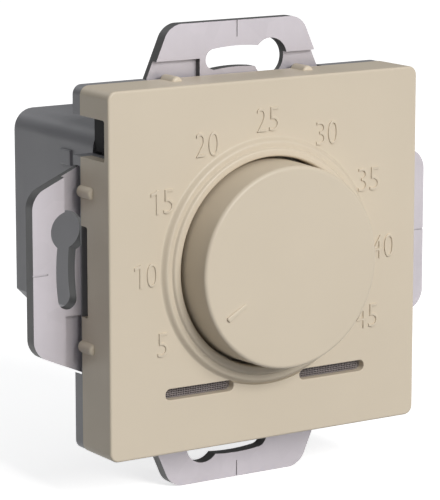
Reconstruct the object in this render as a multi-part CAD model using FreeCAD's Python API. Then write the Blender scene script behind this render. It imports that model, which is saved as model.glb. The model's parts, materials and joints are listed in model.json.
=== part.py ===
import FreeCAD, Part
import math
import os

# A flush-mounted room thermostat, in millimetres.
# The origin is on the knob's axis, in the plane of the wall: the rear face of the mounting ears.
# +Z is up, the dial faces -Y, and +Y goes into the wall box.

# ---- fits ----
SEAT_GAP = 0.05              # between faces that seat on each other
PART_GAP = 0.02              # under what is soldered on a board
SLIP_GAP = 0.3               # round pieces that drop into a frame
RUNNING_GAP = 0.06           # radial, a shaft in its bush
THREAD_GAP = 0.03            # radial, a screw in its hole

# ---- front cover ----
COVER_SIDE = 55.0
COVER_FRONT = 10.5           # the cover's face stands this far off the wall
COVER_BACK = 2.4
COVER_WALL = 1.9
COVER_FACE_THICK = 2.0
COVER_CORNER_R = 1.4
COVER_EDGE_R = 0.5
WINDOW_LOW = 17.1            # the opening in the left side
WINDOW_HIGH = 23.2
WINDOW_FRONT = 9.3
NOTCH_HALF = 6.84            # the shallow notch in the middle of the left side
NOTCH_FRONT = 4.15
LUG_R = 1.15
LUG_PROUD = 0.7
LUG_FRONT = 6.5
SIDE_LUGS = (12.0, -11.3)
END_LUGS = (-12.85, 10.5)

# ---- collar and cup round the knob ----
COLLAR_R = 15.91
BEAD_WIDTH = 1.3
BEAD_HEIGHT = 1.15
BEAD_LIP = 0.23              # bevel on the bead's inner edge
RIM_WIDTH = 1.69
RIM_FLAT = 0.4225            # the rim's nearly flat part, beside the bead
RIM_HEIGHT = 0.65
CUP_WALL = 1.2
CUP_DEPTH = 2.7              # from the cover's face to the cup's floor
CUP_FLOOR = 1.2
ARC_STEPS = 6                # straight pieces in a quarter round of the collar

# ---- dial numerals ----
DIAL_FIRST = 5
DIAL_LAST = 45
DIAL_STEP = 5
DIAL_SWEEP = 240.0
NUMERAL_FROM_RIM = 2.5       # from the rim's foot to the circle of the numerals
NUMERAL_HEIGHT = 3.6
NUMERAL_WIDTH = 1.75
NUMERAL_GAP = 0.45
NUMERAL_STROKE = 0.34
NUMERAL_PROUD = 0.2
TWO_TAIL = -20.0             # where the bow of a 2 turns into its slanted stroke
BOWL_START = -150.0          # where the lower bowl of a 3 or 5 starts
THREE_SWEEP = 240.0
THREE_UPPER = 0.44           # the upper bowl's share of a 3
FOUR_BAR = 1 / 3             # how far below the middle the bar of a 4 lies
FIVE_BOWL = 1.1              # the bowl of a 5 beside the digit's half-width
FIVE_SWEEP = 290.0

# ---- vents ----
VENT_NEAR = 6.0
VENT_FAR = 18.0
VENT_HEIGHT = 1.7
VENT_FROM_RIM = 0.5          # the vents' middle line lies this far inside the rim's foot
VENT_LIP = 1.0               # the cover's thickness over the pockets that hold the mesh strips
SCREEN_THICK = 0.5
SCREEN_BORDER = 0.6

# ---- shaft and potentiometer ----
SHAFT_R = 3.0
SHAFT_FLAT = 1.0             # depth of the flat
SHAFT_FLAT_LENGTH = 6.5
SHAFT_TO_FACE = 0.6
POT_R = 7.5
POT_WALL = 0.6
POT_FRONT = 5.6
BUSH_WALL = 0.8
BUSH_LENGTH = 1.5
BUSH_GAP = 0.4               # radial, the bush in the cup's floor
TRACK_THICK = 1.0
WIPER_GAP = 1.3              # radial, the wiper inside the can
WIPER_THICK = 0.6
WIPER_FINGER = 1.0
WIPER_FINGER_INSET = 0.4
WIPER_FINGER_PROUD = 0.25
WIPER_FINGER_TURN = 40.0
WIPER_TO_TRACK = 0.3
POT_PIN_PITCH = 2.5
POT_PIN_SIDE = 0.8
POT_PIN_INSET = 1.6          # from the disc's edge to the row of pins

# ---- cover screws ----
COVER_SCREW_R = 1.1
COVER_SCREW_LENGTH = 5.5
COVER_SCREW_HEAD_R = 2.2
COVER_SCREW_HEAD = 1.1
CHASSIS_BOSS_R = 2.2
CHASSIS_BOSS_LAND = 0.6      # between the boss and the hole for the potentiometer
CHASSIS_BOSS_BACK = 1.0

# ---- knob ----
KNOB_GAP = 0.41              # round the knob's skirt
KNOB_DRAFT = 0.21
KNOB_FRONT = 17.2
KNOB_WALL = 1.6
KNOB_FACE_THICK = 1.5
KNOB_EDGE_R = 0.5
KNOB_OVER_SCREWS = 0.2       # from the screw heads to the knob's skirt
KNOB_BOSS_WALL = 1.6
KNOB_RIB_THICK = 1.0
KNOB_RIB_DEPTH = 3.0
POINTER_ANGLE = -120.0       # clockwise from the top, at rest on the lowest number
POINTER_NEAR = 9.2
POINTER_FAR = 12.85
POINTER_WIDTH = 0.9
POINTER_PROUD = 0.35
CLIP_THICK = 0.5
CLIP_WIDTH = 1.4
CLIP_GAP_HALF = 1.5
CLIP_INSET = 0.4

# ---- carrier frame ----
CARRIER_SET_IN = 0.06        # how far the frame's edge lies inside the cover's
CARRIER_BACK = 0.15
CARRIER_WALL = 1.2
CARRIER_SKIRT_FRONT = 8.0
CARRIER_SKIRT_GAP = 0.1      # the skirt inside the cover
CARRIER_EAR_GAP = 0.3

# ---- rear housing: its half-width fills what the cover, the skirt and the fit leave ----
HOUSING_HALF = COVER_SIDE / 2 - COVER_WALL - CARRIER_SKIRT_GAP - CARRIER_WALL - SLIP_GAP
HOUSING_TOP = 20.7
HOUSING_BOTTOM = 20.0
HOUSING_BEVEL_FROM = 7.6     # the 45 degree bevel starts this far below the axis
HOUSING_DEPTH = 24.6
HOUSING_CORNER_R = 3.2
HOUSING_EDGE_R = 0.8
HOUSING_WALL = 1.6
HOUSING_BACK_THICK = 1.8
POST_R = 2.5
POST_TOP_X = 16.0
POST_BITE = 0.4              # how far an upper post runs into the top wall
POST_FROM_BEVEL = 1.7        # from a lower post's middle to the bevel's outside
POST_TO_BOARD = 1.2
HOUSING_SCREW_R = 1.1
HOUSING_SCREW_END_GAP = 0.5  # the screw ends this far inside its post
HOUSING_SCREW_HEAD_R = 2.1
HOUSING_SCREW_HEAD = 1.3
CATCH_WIDTH = 3.0
CATCH_HEIGHT = 2.4
CATCH_PROUD = 0.4
CATCH_FROM = 6.2
CATCH_CENTRE_Z = 15.4

# ---- mounting plate ----
EAR_REACH = 35.43            # from the axis to an ear's tip
EAR_TIP_HALF = 11.84         # half-width of an ear at its tip
EAR_SLOPE = 0.4376           # how much the half-width grows for each millimetre towards the axis
EAR_TIP_RADIUS = 2.0
EAR_NECK_HALF = 14.0
EAR_NECK_REACH = 20.0
PLATE_THICK = 2.04           # the doubled sheet
SHEET_THICK = 1.02           # the single sheet, in the recesses
TONGUE_HALF = 6.6            # half-width of the doubled tongue in the middle of an ear
RECESS_REACH = 30.03         # the recesses end this far from the axis
RING_OUTER_R = 27.0
RING_INNER_R = 18.5
SCREW_CIRCLE_R = 30.0        # wall-box screws, 60 mm apart
SLOT_WIDTH = 3.15
SLOT_END_ANGLE = -7.6        # centre of the slot's closed end, clockwise from the ear's middle
KEYHOLE_ANGLE = 11.75
KEYHOLE_R = 3.0
MARK_WIDTH = 0.25            # centre lines scribed on the ears
MARK_DEPTH = 0.15
MARK_LENGTH = 2.5

# ---- inner chassis ----
CHASSIS_WALL = 1.4
CHASSIS_PANEL_FRONT = 6.3
CHASSIS_PANEL_THICK = 1.2
CHASSIS_FOOT_GAP = 0.46      # between the feet in the corners and the ears
CHASSIS_LEG_HALF = 1.0
CHASSIS_LEG_INSET = 2.0

# ---- boards ----
BOARD_THICK = 1.6
CONTROL_BOARD_FRONT = 0.4
CONTROL_BOARD_HALF = 15.0
CONTROL_BOARD_TOP = 13.0
CONTROL_BOARD_BOTTOM = -12.0
POWER_BOARD_GAP = 0.5
PIN_SIDE = 0.64
PIN_PITCH = 2.54
PIN_COUNT = 6
PIN_ROW_Z = -6.0

# ---- power parts, all standing on the rear of the power board ----
PART_STANDOFF = 0.3
LEAD_R = 0.3
LEAD_BELOW = 1.5
PIN_TAIL = 0.8
RELAY_LENGTH = 19.0
RELAY_HEIGHT = 15.0
RELAY_DEPTH = 12.5
RELAY_CENTRE_X = -10.0
RELAY_CENTRE_Z = 9.0
RELAY_EDGE_R = 0.6
RELAY_TO_WALL = 0.15         # from the relay's top to the housing's back
RELAY_LEAD_INSET = 2.0
DROPPER_LENGTH = 17.5
DROPPER_HEIGHT = 6.0
DROPPER_DEPTH = 11.0
DROPPER_CENTRE_X = 11.5
DROPPER_CENTRE_Z = 14.2
DROPPER_EDGE_R = 0.4
DROPPER_LEAD_INSET = 1.5
SMOOTHER_R = 4.0
SMOOTHER_LENGTH = 11.5
SMOOTHER_X = (4.9, 13.8)
SMOOTHER_Z = 5.4
SMOOTHER_GROOVE_FROM = 1.5
SMOOTHER_GROOVE_WIDTH = 0.6
SMOOTHER_GROOVE_DEPTH = 0.3
VARISTOR_R = 3.5
VARISTOR_THICK = 3.0
VARISTOR_EDGE_R = 0.9
VARISTOR_X = -16.5
VARISTOR_Z = -4.3
VARISTOR_LEAD_HALF = 2.5
FUSE_R = 2.0
FUSE_LENGTH = 8.0
FUSE_EDGE_R = 0.5
FUSE_X = 17.6
FUSE_Z = -3.2
DIODE_R = 1.3
DIODE_LENGTH = 5.0
DIODE_COUNT = 4
DIODE_PITCH = 3.6
DIODE_FIRST_X = -9.0
DIODE_Z = -2.6

# ---- control parts, on the rear of the control board ----
CHIP_LENGTH = 8.6
CHIP_WIDTH = 4.0
CHIP_THICK = 1.5
CHIP_STANDOFF = 0.1
CHIP_LEGS = 7
CHIP_LEG_PITCH = 1.27
CHIP_LEG_WIDTH = 0.4
CHIP_LEG_REACH = 1.0
CHIP_LEG_TOP = 0.4
CHIP_Z = -0.4
RESISTOR_LENGTH = 3.2
RESISTOR_WIDTH = 1.6
RESISTOR_THICK = 0.6
RESISTOR_ROWS = 3
RESISTOR_COLUMNS = 2
RESISTOR_PITCH = 4.2
RESISTOR_CENTRE_X = 10.2
RESISTOR_CENTRE_Z = 2.0
SENSOR_BEAD_R = 1.2
SENSOR_X = 11.0
SENSOR_LEAD_GAP = 1.3
SENSOR_LEAD_Y = -3.2
SENSOR_LEAD_INSET = 1.5      # from the control board's lower edge

# ---- terminals ----
TERMINAL_COUNT = 4
TERMINAL_PITCH = 5.8
TERMINAL_RISE = 6.6          # from the housing's bottom to the screws
TERMINAL_BLOCK_RISE = 4.6    # from the screws to the top of the block
TERMINAL_BLOCK_EDGE = 0.8
CELL_WALL = 0.8
CLAMP_CLEARANCE = 0.15
CLAMP_END_GAP = 0.3
CLAMP_WALL = 0.6
CLAMP_YOKE = 1.2
CLAMP_LENGTH = 5.0
CLAMP_DEPTH = 7.6
CLAMP_TRAVEL = 2.6
BAR_FROM_CLAMP = 5.0         # from the open clamp's front to the bar
BAR_THICK = 0.8
BAR_GAP = 0.25
BAR_TAIL = 1.6               # how far the bar reaches above the block
TERMINAL_SCREW_R = 1.5
TERMINAL_HEAD_R = 2.3
TERMINAL_HEAD = 1.8
DRIVER_SLOT_WIDTH = 0.8
DRIVER_SLOT_DEPTH = 1.0
SCREW_ACCESS_R = 2.6
WIRE_ENTRY_WIDTH = 3.8

# ---- worked out from the sizes above ----
RIM_OUTER_R = COLLAR_R + BEAD_WIDTH + RIM_WIDTH
NUMERAL_CIRCLE_R = RIM_OUTER_R + NUMERAL_FROM_RIM
VENT_CENTRE_Z = VENT_FROM_RIM - RIM_OUTER_R
CUP_FLOOR_Y = CUP_DEPTH - COVER_FRONT
BUSH_R = SHAFT_R + BUSH_WALL
FLOOR_HOLE_R = BUSH_R + BUSH_GAP
COVER_SCREW_REACH = POT_R + SLIP_GAP + CHASSIS_BOSS_LAND + CHASSIS_BOSS_R
KNOB_BASE_R = COLLAR_R - KNOB_GAP
KNOB_FRONT_R = KNOB_BASE_R - KNOB_DRAFT
KNOB_FOOT_Y = CUP_FLOOR_Y - COVER_SCREW_HEAD - KNOB_OVER_SCREWS
KNOB_BOSS_R = SHAFT_R + KNOB_BOSS_WALL
INSIDE_BACK = HOUSING_DEPTH - HOUSING_BACK_THICK
CONTROL_BOARD_BACK = CONTROL_BOARD_FRONT + BOARD_THICK
TRACK_BACK = CONTROL_BOARD_FRONT - SEAT_GAP
WIPER_BACK = TRACK_BACK - TRACK_THICK - WIPER_TO_TRACK
PART_FOOT = INSIDE_BACK - RELAY_TO_WALL - RELAY_DEPTH
POWER_BOARD_BACK = PART_FOOT - PART_STANDOFF - SEAT_GAP
POWER_BOARD_FRONT = POWER_BOARD_BACK - BOARD_THICK
POST_LENGTH = POWER_BOARD_FRONT - POST_TO_BOARD
POST_TOP_Z = HOUSING_TOP - HOUSING_WALL - POST_R + POST_BITE
POST_LOW = (HOUSING_HALF + HOUSING_BEVEL_FROM) / 2 - POST_FROM_BEVEL / math.sqrt(2)
CELL_WIDTH = TERMINAL_PITCH - CELL_WALL
BAR_WIDTH = CELL_WIDTH - 2 * (CLAMP_CLEARANCE + CLAMP_WALL + BAR_GAP)
TERMINAL_AXIS_Z = TERMINAL_RISE - HOUSING_BOTTOM
TERMINAL_BLOCK_TOP = TERMINAL_AXIS_Z + TERMINAL_BLOCK_RISE
TERMINAL_HEAD_FRONT = INSIDE_BACK - SEAT_GAP - TERMINAL_HEAD
CLAMP_FRONT = TERMINAL_HEAD_FRONT - CLAMP_CLEARANCE - CLAMP_TRAVEL - CLAMP_DEPTH
BAR_FRONT = CLAMP_FRONT + BAR_FROM_CLAMP

# ---- drawing aids ----
CLEAR = 1.0                  # how far a cutter runs past what it cuts
TINY = 1e-6
FAR = 100.0


def box(x0, x1, y0, y1, z0, z1):
    """A box between two corners."""
    return Part.makeBox(x1 - x0, y1 - y0, z1 - z0, FreeCAD.Vector(x0, y0, z0))


def rod(radius, y0, y1, x=0.0, z=0.0):
    """A cylinder along Y."""
    return Part.makeCylinder(radius, y1 - y0, FreeCAD.Vector(x, y0, z), FreeCAD.Vector(0, 1, 0))


def prism(outline, y0, y1):
    """A closed outline of (x, z) points, drawn out along Y."""
    points = [FreeCAD.Vector(x, y0, z) for x, z in outline]
    face = Part.Face(Part.makePolygon(points + points[:1]))
    return face.extrude(FreeCAD.Vector(0, y1 - y0, 0))


def turned(shape, clockwise):
    """The shape turned about the knob's axis, clockwise as seen from the front."""
    copy = shape.copy()
    copy.rotate(FreeCAD.Vector(0, 0, 0), FreeCAD.Vector(0, 1, 0), clockwise)
    return copy


def moved(shape, x=0.0, y=0.0, z=0.0):
    """A copy of the shape, shifted."""
    copy = shape.copy()
    copy.translate(FreeCAD.Vector(x, y, z))
    return copy


def lathe(profile):
    """A closed list of (radius, y) points, turned a full circle about the Y axis."""
    points = [FreeCAD.Vector(radius, y, 0) for radius, y in profile]
    face = Part.Face(Part.makePolygon(points + points[:1]))
    return face.revolve(FreeCAD.Vector(0, 0, 0), FreeCAD.Vector(0, 1, 0), 360)


def along_y(shape, keep=lambda x, z: True):
    """The straight edges that run along Y, at the (x, z) places that are wanted."""
    found = []
    for edge in shape.Edges:
        first = edge.Vertexes[0].Point
        last = edge.Vertexes[-1].Point
        if abs(first.x - last.x) + abs(first.z - last.z) < TINY and keep(first.x, first.z):
            found.append(edge)
    return found


def slab(half, y0, y1, corner=0.0):
    """A square slab about the axis, with rounded corners if wanted."""
    shape = box(-half, half, y0, y1, -half, half)
    if corner > 0:
        shape = shape.makeFillet(corner, along_y(shape))
    return shape


def joined(shapes):
    """One solid out of touching shapes."""
    whole = shapes[0].multiFuse(shapes[1:]) if len(shapes) > 1 else shapes[0]
    return whole.removeSplitter()


def write(node, *shapes):
    """Write one node's solids to its own file."""
    solids = [solid for shape in shapes for solid in shape.Solids]
    shape = solids[0] if len(solids) == 1 else Part.makeCompound(solids)
    if not shape.isValid():
        raise ValueError(node + " is not a valid solid")
    shape.exportStep("parts/" + node + ".step")
    print(node, len(solids), round(shape.Volume, 1))


def ear_half_width(reach):
    """Half the ear's width at a distance from the axis."""
    return EAR_TIP_HALF + (EAR_REACH - reach) * EAR_SLOPE


def upper_ear(y0, y1, grow=0.0):
    """The ear that points up, optionally grown sideways to cut its notch."""
    tip = EAR_REACH + grow
    shoulder_half = ear_half_width(HOUSING_HALF) + grow
    outline = [
        (-EAR_NECK_HALF - grow, EAR_NECK_REACH),
        (EAR_NECK_HALF + grow, EAR_NECK_REACH),
        (shoulder_half, HOUSING_HALF),
        (EAR_TIP_HALF + grow, tip),
        (-EAR_TIP_HALF - grow, tip),
        (-shoulder_half, HOUSING_HALF),
    ]
    shape = prism(outline, y0, y1)
    return shape.makeFillet(EAR_TIP_RADIUS, along_y(shape, lambda x, z: z > tip - TINY))


def four_ears(y0, y1, grow=0.0):
    """All four ears, a quarter turn apart."""
    ear = upper_ear(y0, y1, grow)
    return [turned(ear, 90.0 * quarter) for quarter in range(4)]


def screw_slot():
    """The curved slot and keyhole in the upper ear, as a cutter."""
    y0 = -PLATE_THICK - CLEAR
    y1 = CLEAR
    half = SLOT_WIDTH / 2
    band = rod(SCREW_CIRCLE_R + half, y0, y1).cut(rod(SCREW_CIRCLE_R - half, y0, y1))
    left = math.radians(SLOT_END_ANGLE)
    right = math.radians(KEYHOLE_ANGLE)
    wedge = prism([(0, 0), (FAR * math.tan(left), FAR), (FAR * math.tan(right), FAR)], y0, y1)
    end = rod(half, y0, y1, SCREW_CIRCLE_R * math.sin(left), SCREW_CIRCLE_R * math.cos(left))
    key = rod(KEYHOLE_R, y0, y1, SCREW_CIRCLE_R * math.sin(right), SCREW_CIRCLE_R * math.cos(right))
    return joined([band.common(wedge), end, key])


def ear_recesses():
    """The two places beside the upper ear's tongue where the sheet is single, as cutters."""
    pockets = []
    for side in (-1, 1):
        near = side * TONGUE_HALF
        far = side * (ear_half_width(RING_OUTER_R) + CLEAR)
        low = RING_OUTER_R * math.cos(math.asin(TONGUE_HALF / RING_OUTER_R))
        pockets.append(box(min(near, far), max(near, far), -FAR, -SHEET_THICK, low, RECESS_REACH))
    return pockets


def centre_mark():
    """The line scribed on the upper ear, as a cutter."""
    return box(-MARK_WIDTH / 2, MARK_WIDTH / 2, -FAR, MARK_DEPTH - PLATE_THICK,
               EAR_REACH - MARK_LENGTH, EAR_REACH + CLEAR)


def post_places():
    """Where the four posts of the housing stand."""
    places = []
    for side in (-1, 1):
        places.append((side * POST_TOP_X, POST_TOP_Z))
        places.append((side * POST_LOW, -POST_LOW))
    return places


def mounting_plate():
    """The steel support: a ring with four slotted ears."""
    ring = rod(RING_OUTER_R, -PLATE_THICK, 0)
    plate = joined([ring] + four_ears(-PLATE_THICK, 0))
    y0 = -PLATE_THICK - CLEAR
    cutters = [rod(RING_INNER_R, y0, CLEAR)]
    for quarter in range(4):
        for cutter in ear_recesses() + [screw_slot(), centre_mark()]:
            cutters.append(turned(cutter, 90.0 * quarter))
    for x, z in post_places():
        cutters.append(rod(HOUSING_SCREW_R + THREAD_GAP + SLIP_GAP, y0, CLEAR, x, z))
    return plate.cut(cutters)


def cover_lugs(y0, y1, half, grow=0.0):
    """The half-round lugs round a square of the given half-side."""
    inset = half + LUG_PROUD - LUG_R
    lugs = []
    for side in (-1, 1):
        for z in SIDE_LUGS:
            lugs.append(rod(LUG_R + grow, y0, y1, side * inset, z))
        for x in END_LUGS:
            lugs.append(rod(LUG_R + grow, y0, y1, x, side * inset))
    return lugs


def bar(x0, z0, x1, z1):
    """A straight stroke of a numeral, between two points of its middle line."""
    length = math.hypot(x1 - x0, z1 - z0)
    half = NUMERAL_STROKE / 2
    stroke = box(-half, length + half, -COVER_FRONT - NUMERAL_PROUD, -COVER_FRONT + half, -half, half)
    return moved(turned(stroke, -math.degrees(math.atan2(z1 - z0, x1 - x0))), x0, 0, z0)


def bow(x, z, radius, start, sweep):
    """A round stroke of a numeral: an arc about (x, z), anticlockwise from the right."""
    half = NUMERAL_STROKE / 2
    inner = radius - half
    y0 = -COVER_FRONT - NUMERAL_PROUD
    outline = [FreeCAD.Vector(inner, y0, 0), FreeCAD.Vector(radius + half, y0, 0),
               FreeCAD.Vector(radius + half, -COVER_FRONT + half, 0),
               FreeCAD.Vector(inner, -COVER_FRONT + half, 0)]
    face = Part.Face(Part.makePolygon(outline + outline[:1]))
    stroke = turned(face, -start).revolve(FreeCAD.Vector(0, 0, 0), FreeCAD.Vector(0, -1, 0), sweep)
    return moved(stroke, x, 0, z)


def digit_strokes(digit):
    """The strokes of one digit, about its own centre."""
    w = (NUMERAL_WIDTH - NUMERAL_STROKE) / 2
    h = (NUMERAL_HEIGHT - NUMERAL_STROKE) / 2
    if digit == "0":
        return [bow(0, h - w, w, 0, 180), bow(0, w - h, w, 180, 180),
                bar(-w, w - h, -w, h - w), bar(w, w - h, w, h - w)]
    if digit == "1":
        return [bar(w / 2, -h, w / 2, h), bar(w / 2, h, -w / 2, h - w)]
    if digit == "2":
        tail = math.radians(TWO_TAIL)
        return [bow(0, h - w, w, TWO_TAIL, 180 - TWO_TAIL), bar(-w, -h, w, -h),
                bar(w * math.cos(tail), h - w + w * math.sin(tail), -w, -h)]
    if digit == "3":
        upper = h * THREE_UPPER
        lower = h - upper
        return [bow(0, h - upper, upper, -90, THREE_SWEEP), bow(0, lower - h, lower, BOWL_START, THREE_SWEEP)]
    if digit == "4":
        level = -h * FOUR_BAR
        return [bar(w / 2, -h, w / 2, h), bar(w / 2, h, -w, level), bar(-w, level, w, level)]
    bowl = w * FIVE_BOWL
    return [bar(-w, h, w, h), bar(-w, h, -w, bowl / 2), bow(0, bowl - h, bowl, BOWL_START, FIVE_SWEEP)]


def numeral(value):
    """One number of the dial, upright at its place on the cover."""
    text = str(value)
    share = (value - DIAL_FIRST) / (DIAL_LAST - DIAL_FIRST)
    angle = math.radians(POINTER_ANGLE + DIAL_SWEEP * share)
    pitch = NUMERAL_WIDTH + NUMERAL_GAP
    strokes = []
    for index, digit in enumerate(text):
        shift = (index - (len(text) - 1) / 2) * pitch
        for stroke in digit_strokes(digit):
            strokes.append(moved(stroke, NUMERAL_CIRCLE_R * math.sin(angle) + shift, 0,
                                 NUMERAL_CIRCLE_R * math.cos(angle)))
    return strokes


def collar():
    """The stepped moulding round the knob and the cup behind it."""
    face = -COVER_FRONT
    bead_outer = COLLAR_R + BEAD_WIDTH
    step = BEAD_HEIGHT - RIM_HEIGHT
    slope = RIM_WIDTH - RIM_FLAT
    turns = [math.radians(90 * index / ARC_STEPS) for index in range(ARC_STEPS + 1)]
    inside = face + COVER_FACE_THICK / 2
    cup_back = CUP_FLOOR_Y + CUP_FLOOR
    profile = [(COLLAR_R, CUP_FLOOR_Y), (COLLAR_R, face - BEAD_HEIGHT + BEAD_LIP),
               (COLLAR_R + BEAD_LIP, face - BEAD_HEIGHT)]
    for turn in turns:
        profile.append((bead_outer - step + step * math.sin(turn), face - RIM_HEIGHT - step * math.cos(turn)))
    for turn in turns:
        profile.append((bead_outer + RIM_FLAT + slope * math.sin(turn), face - RIM_HEIGHT * math.cos(turn)))
    profile += [(RIM_OUTER_R, inside), (COLLAR_R + CUP_WALL, inside), (COLLAR_R + CUP_WALL, cup_back),
                (FLOOR_HOLE_R, cup_back), (FLOOR_HOLE_R, CUP_FLOOR_Y)]
    return lathe(profile)


def vent_slots(y0, y1, grow=0.0):
    """The two round-ended vent slots, as cutters."""
    slots = []
    half = VENT_HEIGHT / 2
    for side in (-1, 1):
        near = side * (VENT_NEAR + half)
        far = side * (VENT_FAR - half)
        middle = box(min(near, far), max(near, far), y0, y1,
                     VENT_CENTRE_Z - half - grow, VENT_CENTRE_Z + half + grow)
        ends = [rod(half + grow, y0, y1, x, VENT_CENTRE_Z) for x in (near, far)]
        slots.append(joined([middle] + ends))
    return slots


def cover_screw_places():
    """The two screws that hold the cover, above and below the shaft."""
    return [(0.0, side * COVER_SCREW_REACH) for side in (-1, 1)]


def front_cover():
    """The cover: a shallow square box with collar, cup, numerals, vents, lugs and side openings."""
    half = COVER_SIDE / 2
    shell = slab(half, -COVER_FRONT, -COVER_BACK, COVER_CORNER_R)
    front_edges = [edge for edge in shell.Edges if edge.BoundBox.YMax < -COVER_FRONT + TINY]
    shell = shell.makeFillet(COVER_EDGE_R, front_edges)
    shell = joined([shell] + cover_lugs(-LUG_FRONT, -COVER_BACK, half))
    inside = slab(half - COVER_WALL, COVER_FACE_THICK - COVER_FRONT, 0)
    shell = shell.cut([inside, rod(COLLAR_R, -FAR, 0)])
    shell = joined([shell, collar()])
    cutters = [box(-FAR, COVER_WALL - half, -WINDOW_FRONT, 0, WINDOW_LOW, WINDOW_HIGH),
               box(-FAR, COVER_WALL - half, -NOTCH_FRONT, 0, -NOTCH_HALF, NOTCH_HALF)]
    cutters += vent_slots(-FAR, 0)
    cutters += vent_slots(VENT_LIP - COVER_FRONT, 0, SCREEN_BORDER + SEAT_GAP)
    screw_hole = COVER_SCREW_R + SLIP_GAP
    cutters += [rod(screw_hole, -FAR, 0, x, z) for x, z in cover_screw_places()]
    shell = shell.cut(cutters)
    strokes = []
    for value in range(DIAL_FIRST, DIAL_LAST + 1, DIAL_STEP):
        strokes += numeral(value)
    return joined([shell] + strokes)


def vent_screens():
    """The mesh strips in their pockets behind the vents."""
    front = VENT_LIP - COVER_FRONT + SEAT_GAP
    return vent_slots(front, front + SCREEN_THICK, SCREEN_BORDER)


def cover_screws():
    """Pan-head screws through the cup's floor into the chassis."""
    return [pan_head_screw(x, z, CUP_FLOOR_Y, COVER_SCREW_HEAD_R, COVER_SCREW_HEAD, COVER_SCREW_R,
                           CUP_FLOOR_Y + COVER_SCREW_LENGTH) for x, z in cover_screw_places()]


def pan_head_screw(x, z, seat, head_r, head, shank_r, end):
    """A screw with its head's underside just off the seat."""
    top = rod(head_r, seat - head, seat - SEAT_GAP / 2, x, z)
    shank = rod(shank_r, seat - SEAT_GAP, end, x, z)
    return joined([top, shank])


def carrier_frame():
    """The grey frame between the cover and the plate, with a skirt inside the cover."""
    half = COVER_SIDE / 2 - CARRIER_SET_IN
    inner = HOUSING_HALF + SLIP_GAP
    front = SEAT_GAP - COVER_BACK
    flange = slab(half, front, -CARRIER_BACK, COVER_CORNER_R)
    flange = joined([flange] + cover_lugs(front, -CARRIER_BACK, half))
    skirt = slab(inner + CARRIER_WALL, -CARRIER_SKIRT_FRONT, front + CLEAR)
    frame = joined([flange, skirt])
    cutters = [slab(inner, -FAR, 0)]
    cutters += four_ears(-PLATE_THICK - SEAT_GAP, 0, CARRIER_EAR_GAP)
    cutters.append(box(-FAR, CLEAR - inner, -FAR, 0, WINDOW_LOW, WINDOW_HIGH))
    return frame.cut(cutters)


def inner_chassis():
    """The black inner frame that holds the boards and takes the cover's screws."""
    half = HOUSING_HALF - SLIP_GAP
    panel_back = CHASSIS_PANEL_THICK - CHASSIS_PANEL_FRONT
    wall = slab(half, -CHASSIS_PANEL_FRONT, -SEAT_GAP)
    wall = wall.cut(slab(half - CHASSIS_WALL, panel_back, 0))
    bosses = [rod(CHASSIS_BOSS_R, -CHASSIS_PANEL_FRONT, -CHASSIS_BOSS_BACK, x, z)
              for x, z in cover_screw_places()]
    frame = joined([wall] + bosses + chassis_legs())
    foot_from = ear_half_width(HOUSING_HALF) + CHASSIS_FOOT_GAP
    plate_front = -PLATE_THICK - SEAT_GAP
    middle = rod(RING_INNER_R - SLIP_GAP, -FAR, FAR)
    cutters = [box(-FAR, FAR, plate_front, 0, -foot_from, foot_from).cut(middle),
               box(-foot_from, foot_from, plate_front, 0, -FAR, FAR).cut(middle),
               rod(POT_R + SLIP_GAP, -FAR, 0)]
    cutters += [rod(COVER_SCREW_R + THREAD_GAP, -FAR, 0, x, z) for x, z in cover_screw_places()]
    cutters.append(rod(SENSOR_BEAD_R + SLIP_GAP, -FAR, 0, SENSOR_X, VENT_CENTRE_Z))
    return frame.cut(cutters)


def chassis_legs():
    """The four legs that the control board seats on."""
    half = CHASSIS_LEG_HALF
    legs = []
    for side in (-1, 1):
        x = side * (CONTROL_BOARD_HALF - CHASSIS_LEG_INSET)
        for z in (CONTROL_BOARD_BOTTOM + CHASSIS_LEG_INSET, CONTROL_BOARD_TOP - CHASSIS_LEG_INSET):
            legs.append(box(x - half, x + half, -CHASSIS_PANEL_FRONT, TRACK_BACK, z - half, z + half))
    return legs


def housing_outline(inset=0.0):
    """The housing's outline: a square top and a bevelled bottom."""
    half = HOUSING_HALF - inset
    top = HOUSING_TOP - inset
    bottom = -HOUSING_BOTTOM + inset
    bevel = -HOUSING_BEVEL_FROM + inset * (math.sqrt(2) - 1)
    foot = half - (bevel - bottom)
    return [(-half, top), (half, top), (half, bevel), (foot, bottom), (-foot, bottom), (-half, bevel)]


def housing_block(y0, y1, inset=0.0):
    """The housing's outer or inner block, with its upper corners rounded."""
    shape = prism(housing_outline(inset), y0, y1)
    top = HOUSING_TOP - inset
    return shape.makeFillet(HOUSING_CORNER_R - inset, along_y(shape, lambda x, z: z > top - TINY))


def terminal_places():
    """The middle of each terminal, from left to right."""
    first = -(TERMINAL_COUNT - 1) / 2 * TERMINAL_PITCH
    return [first + index * TERMINAL_PITCH for index in range(TERMINAL_COUNT)]


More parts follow.
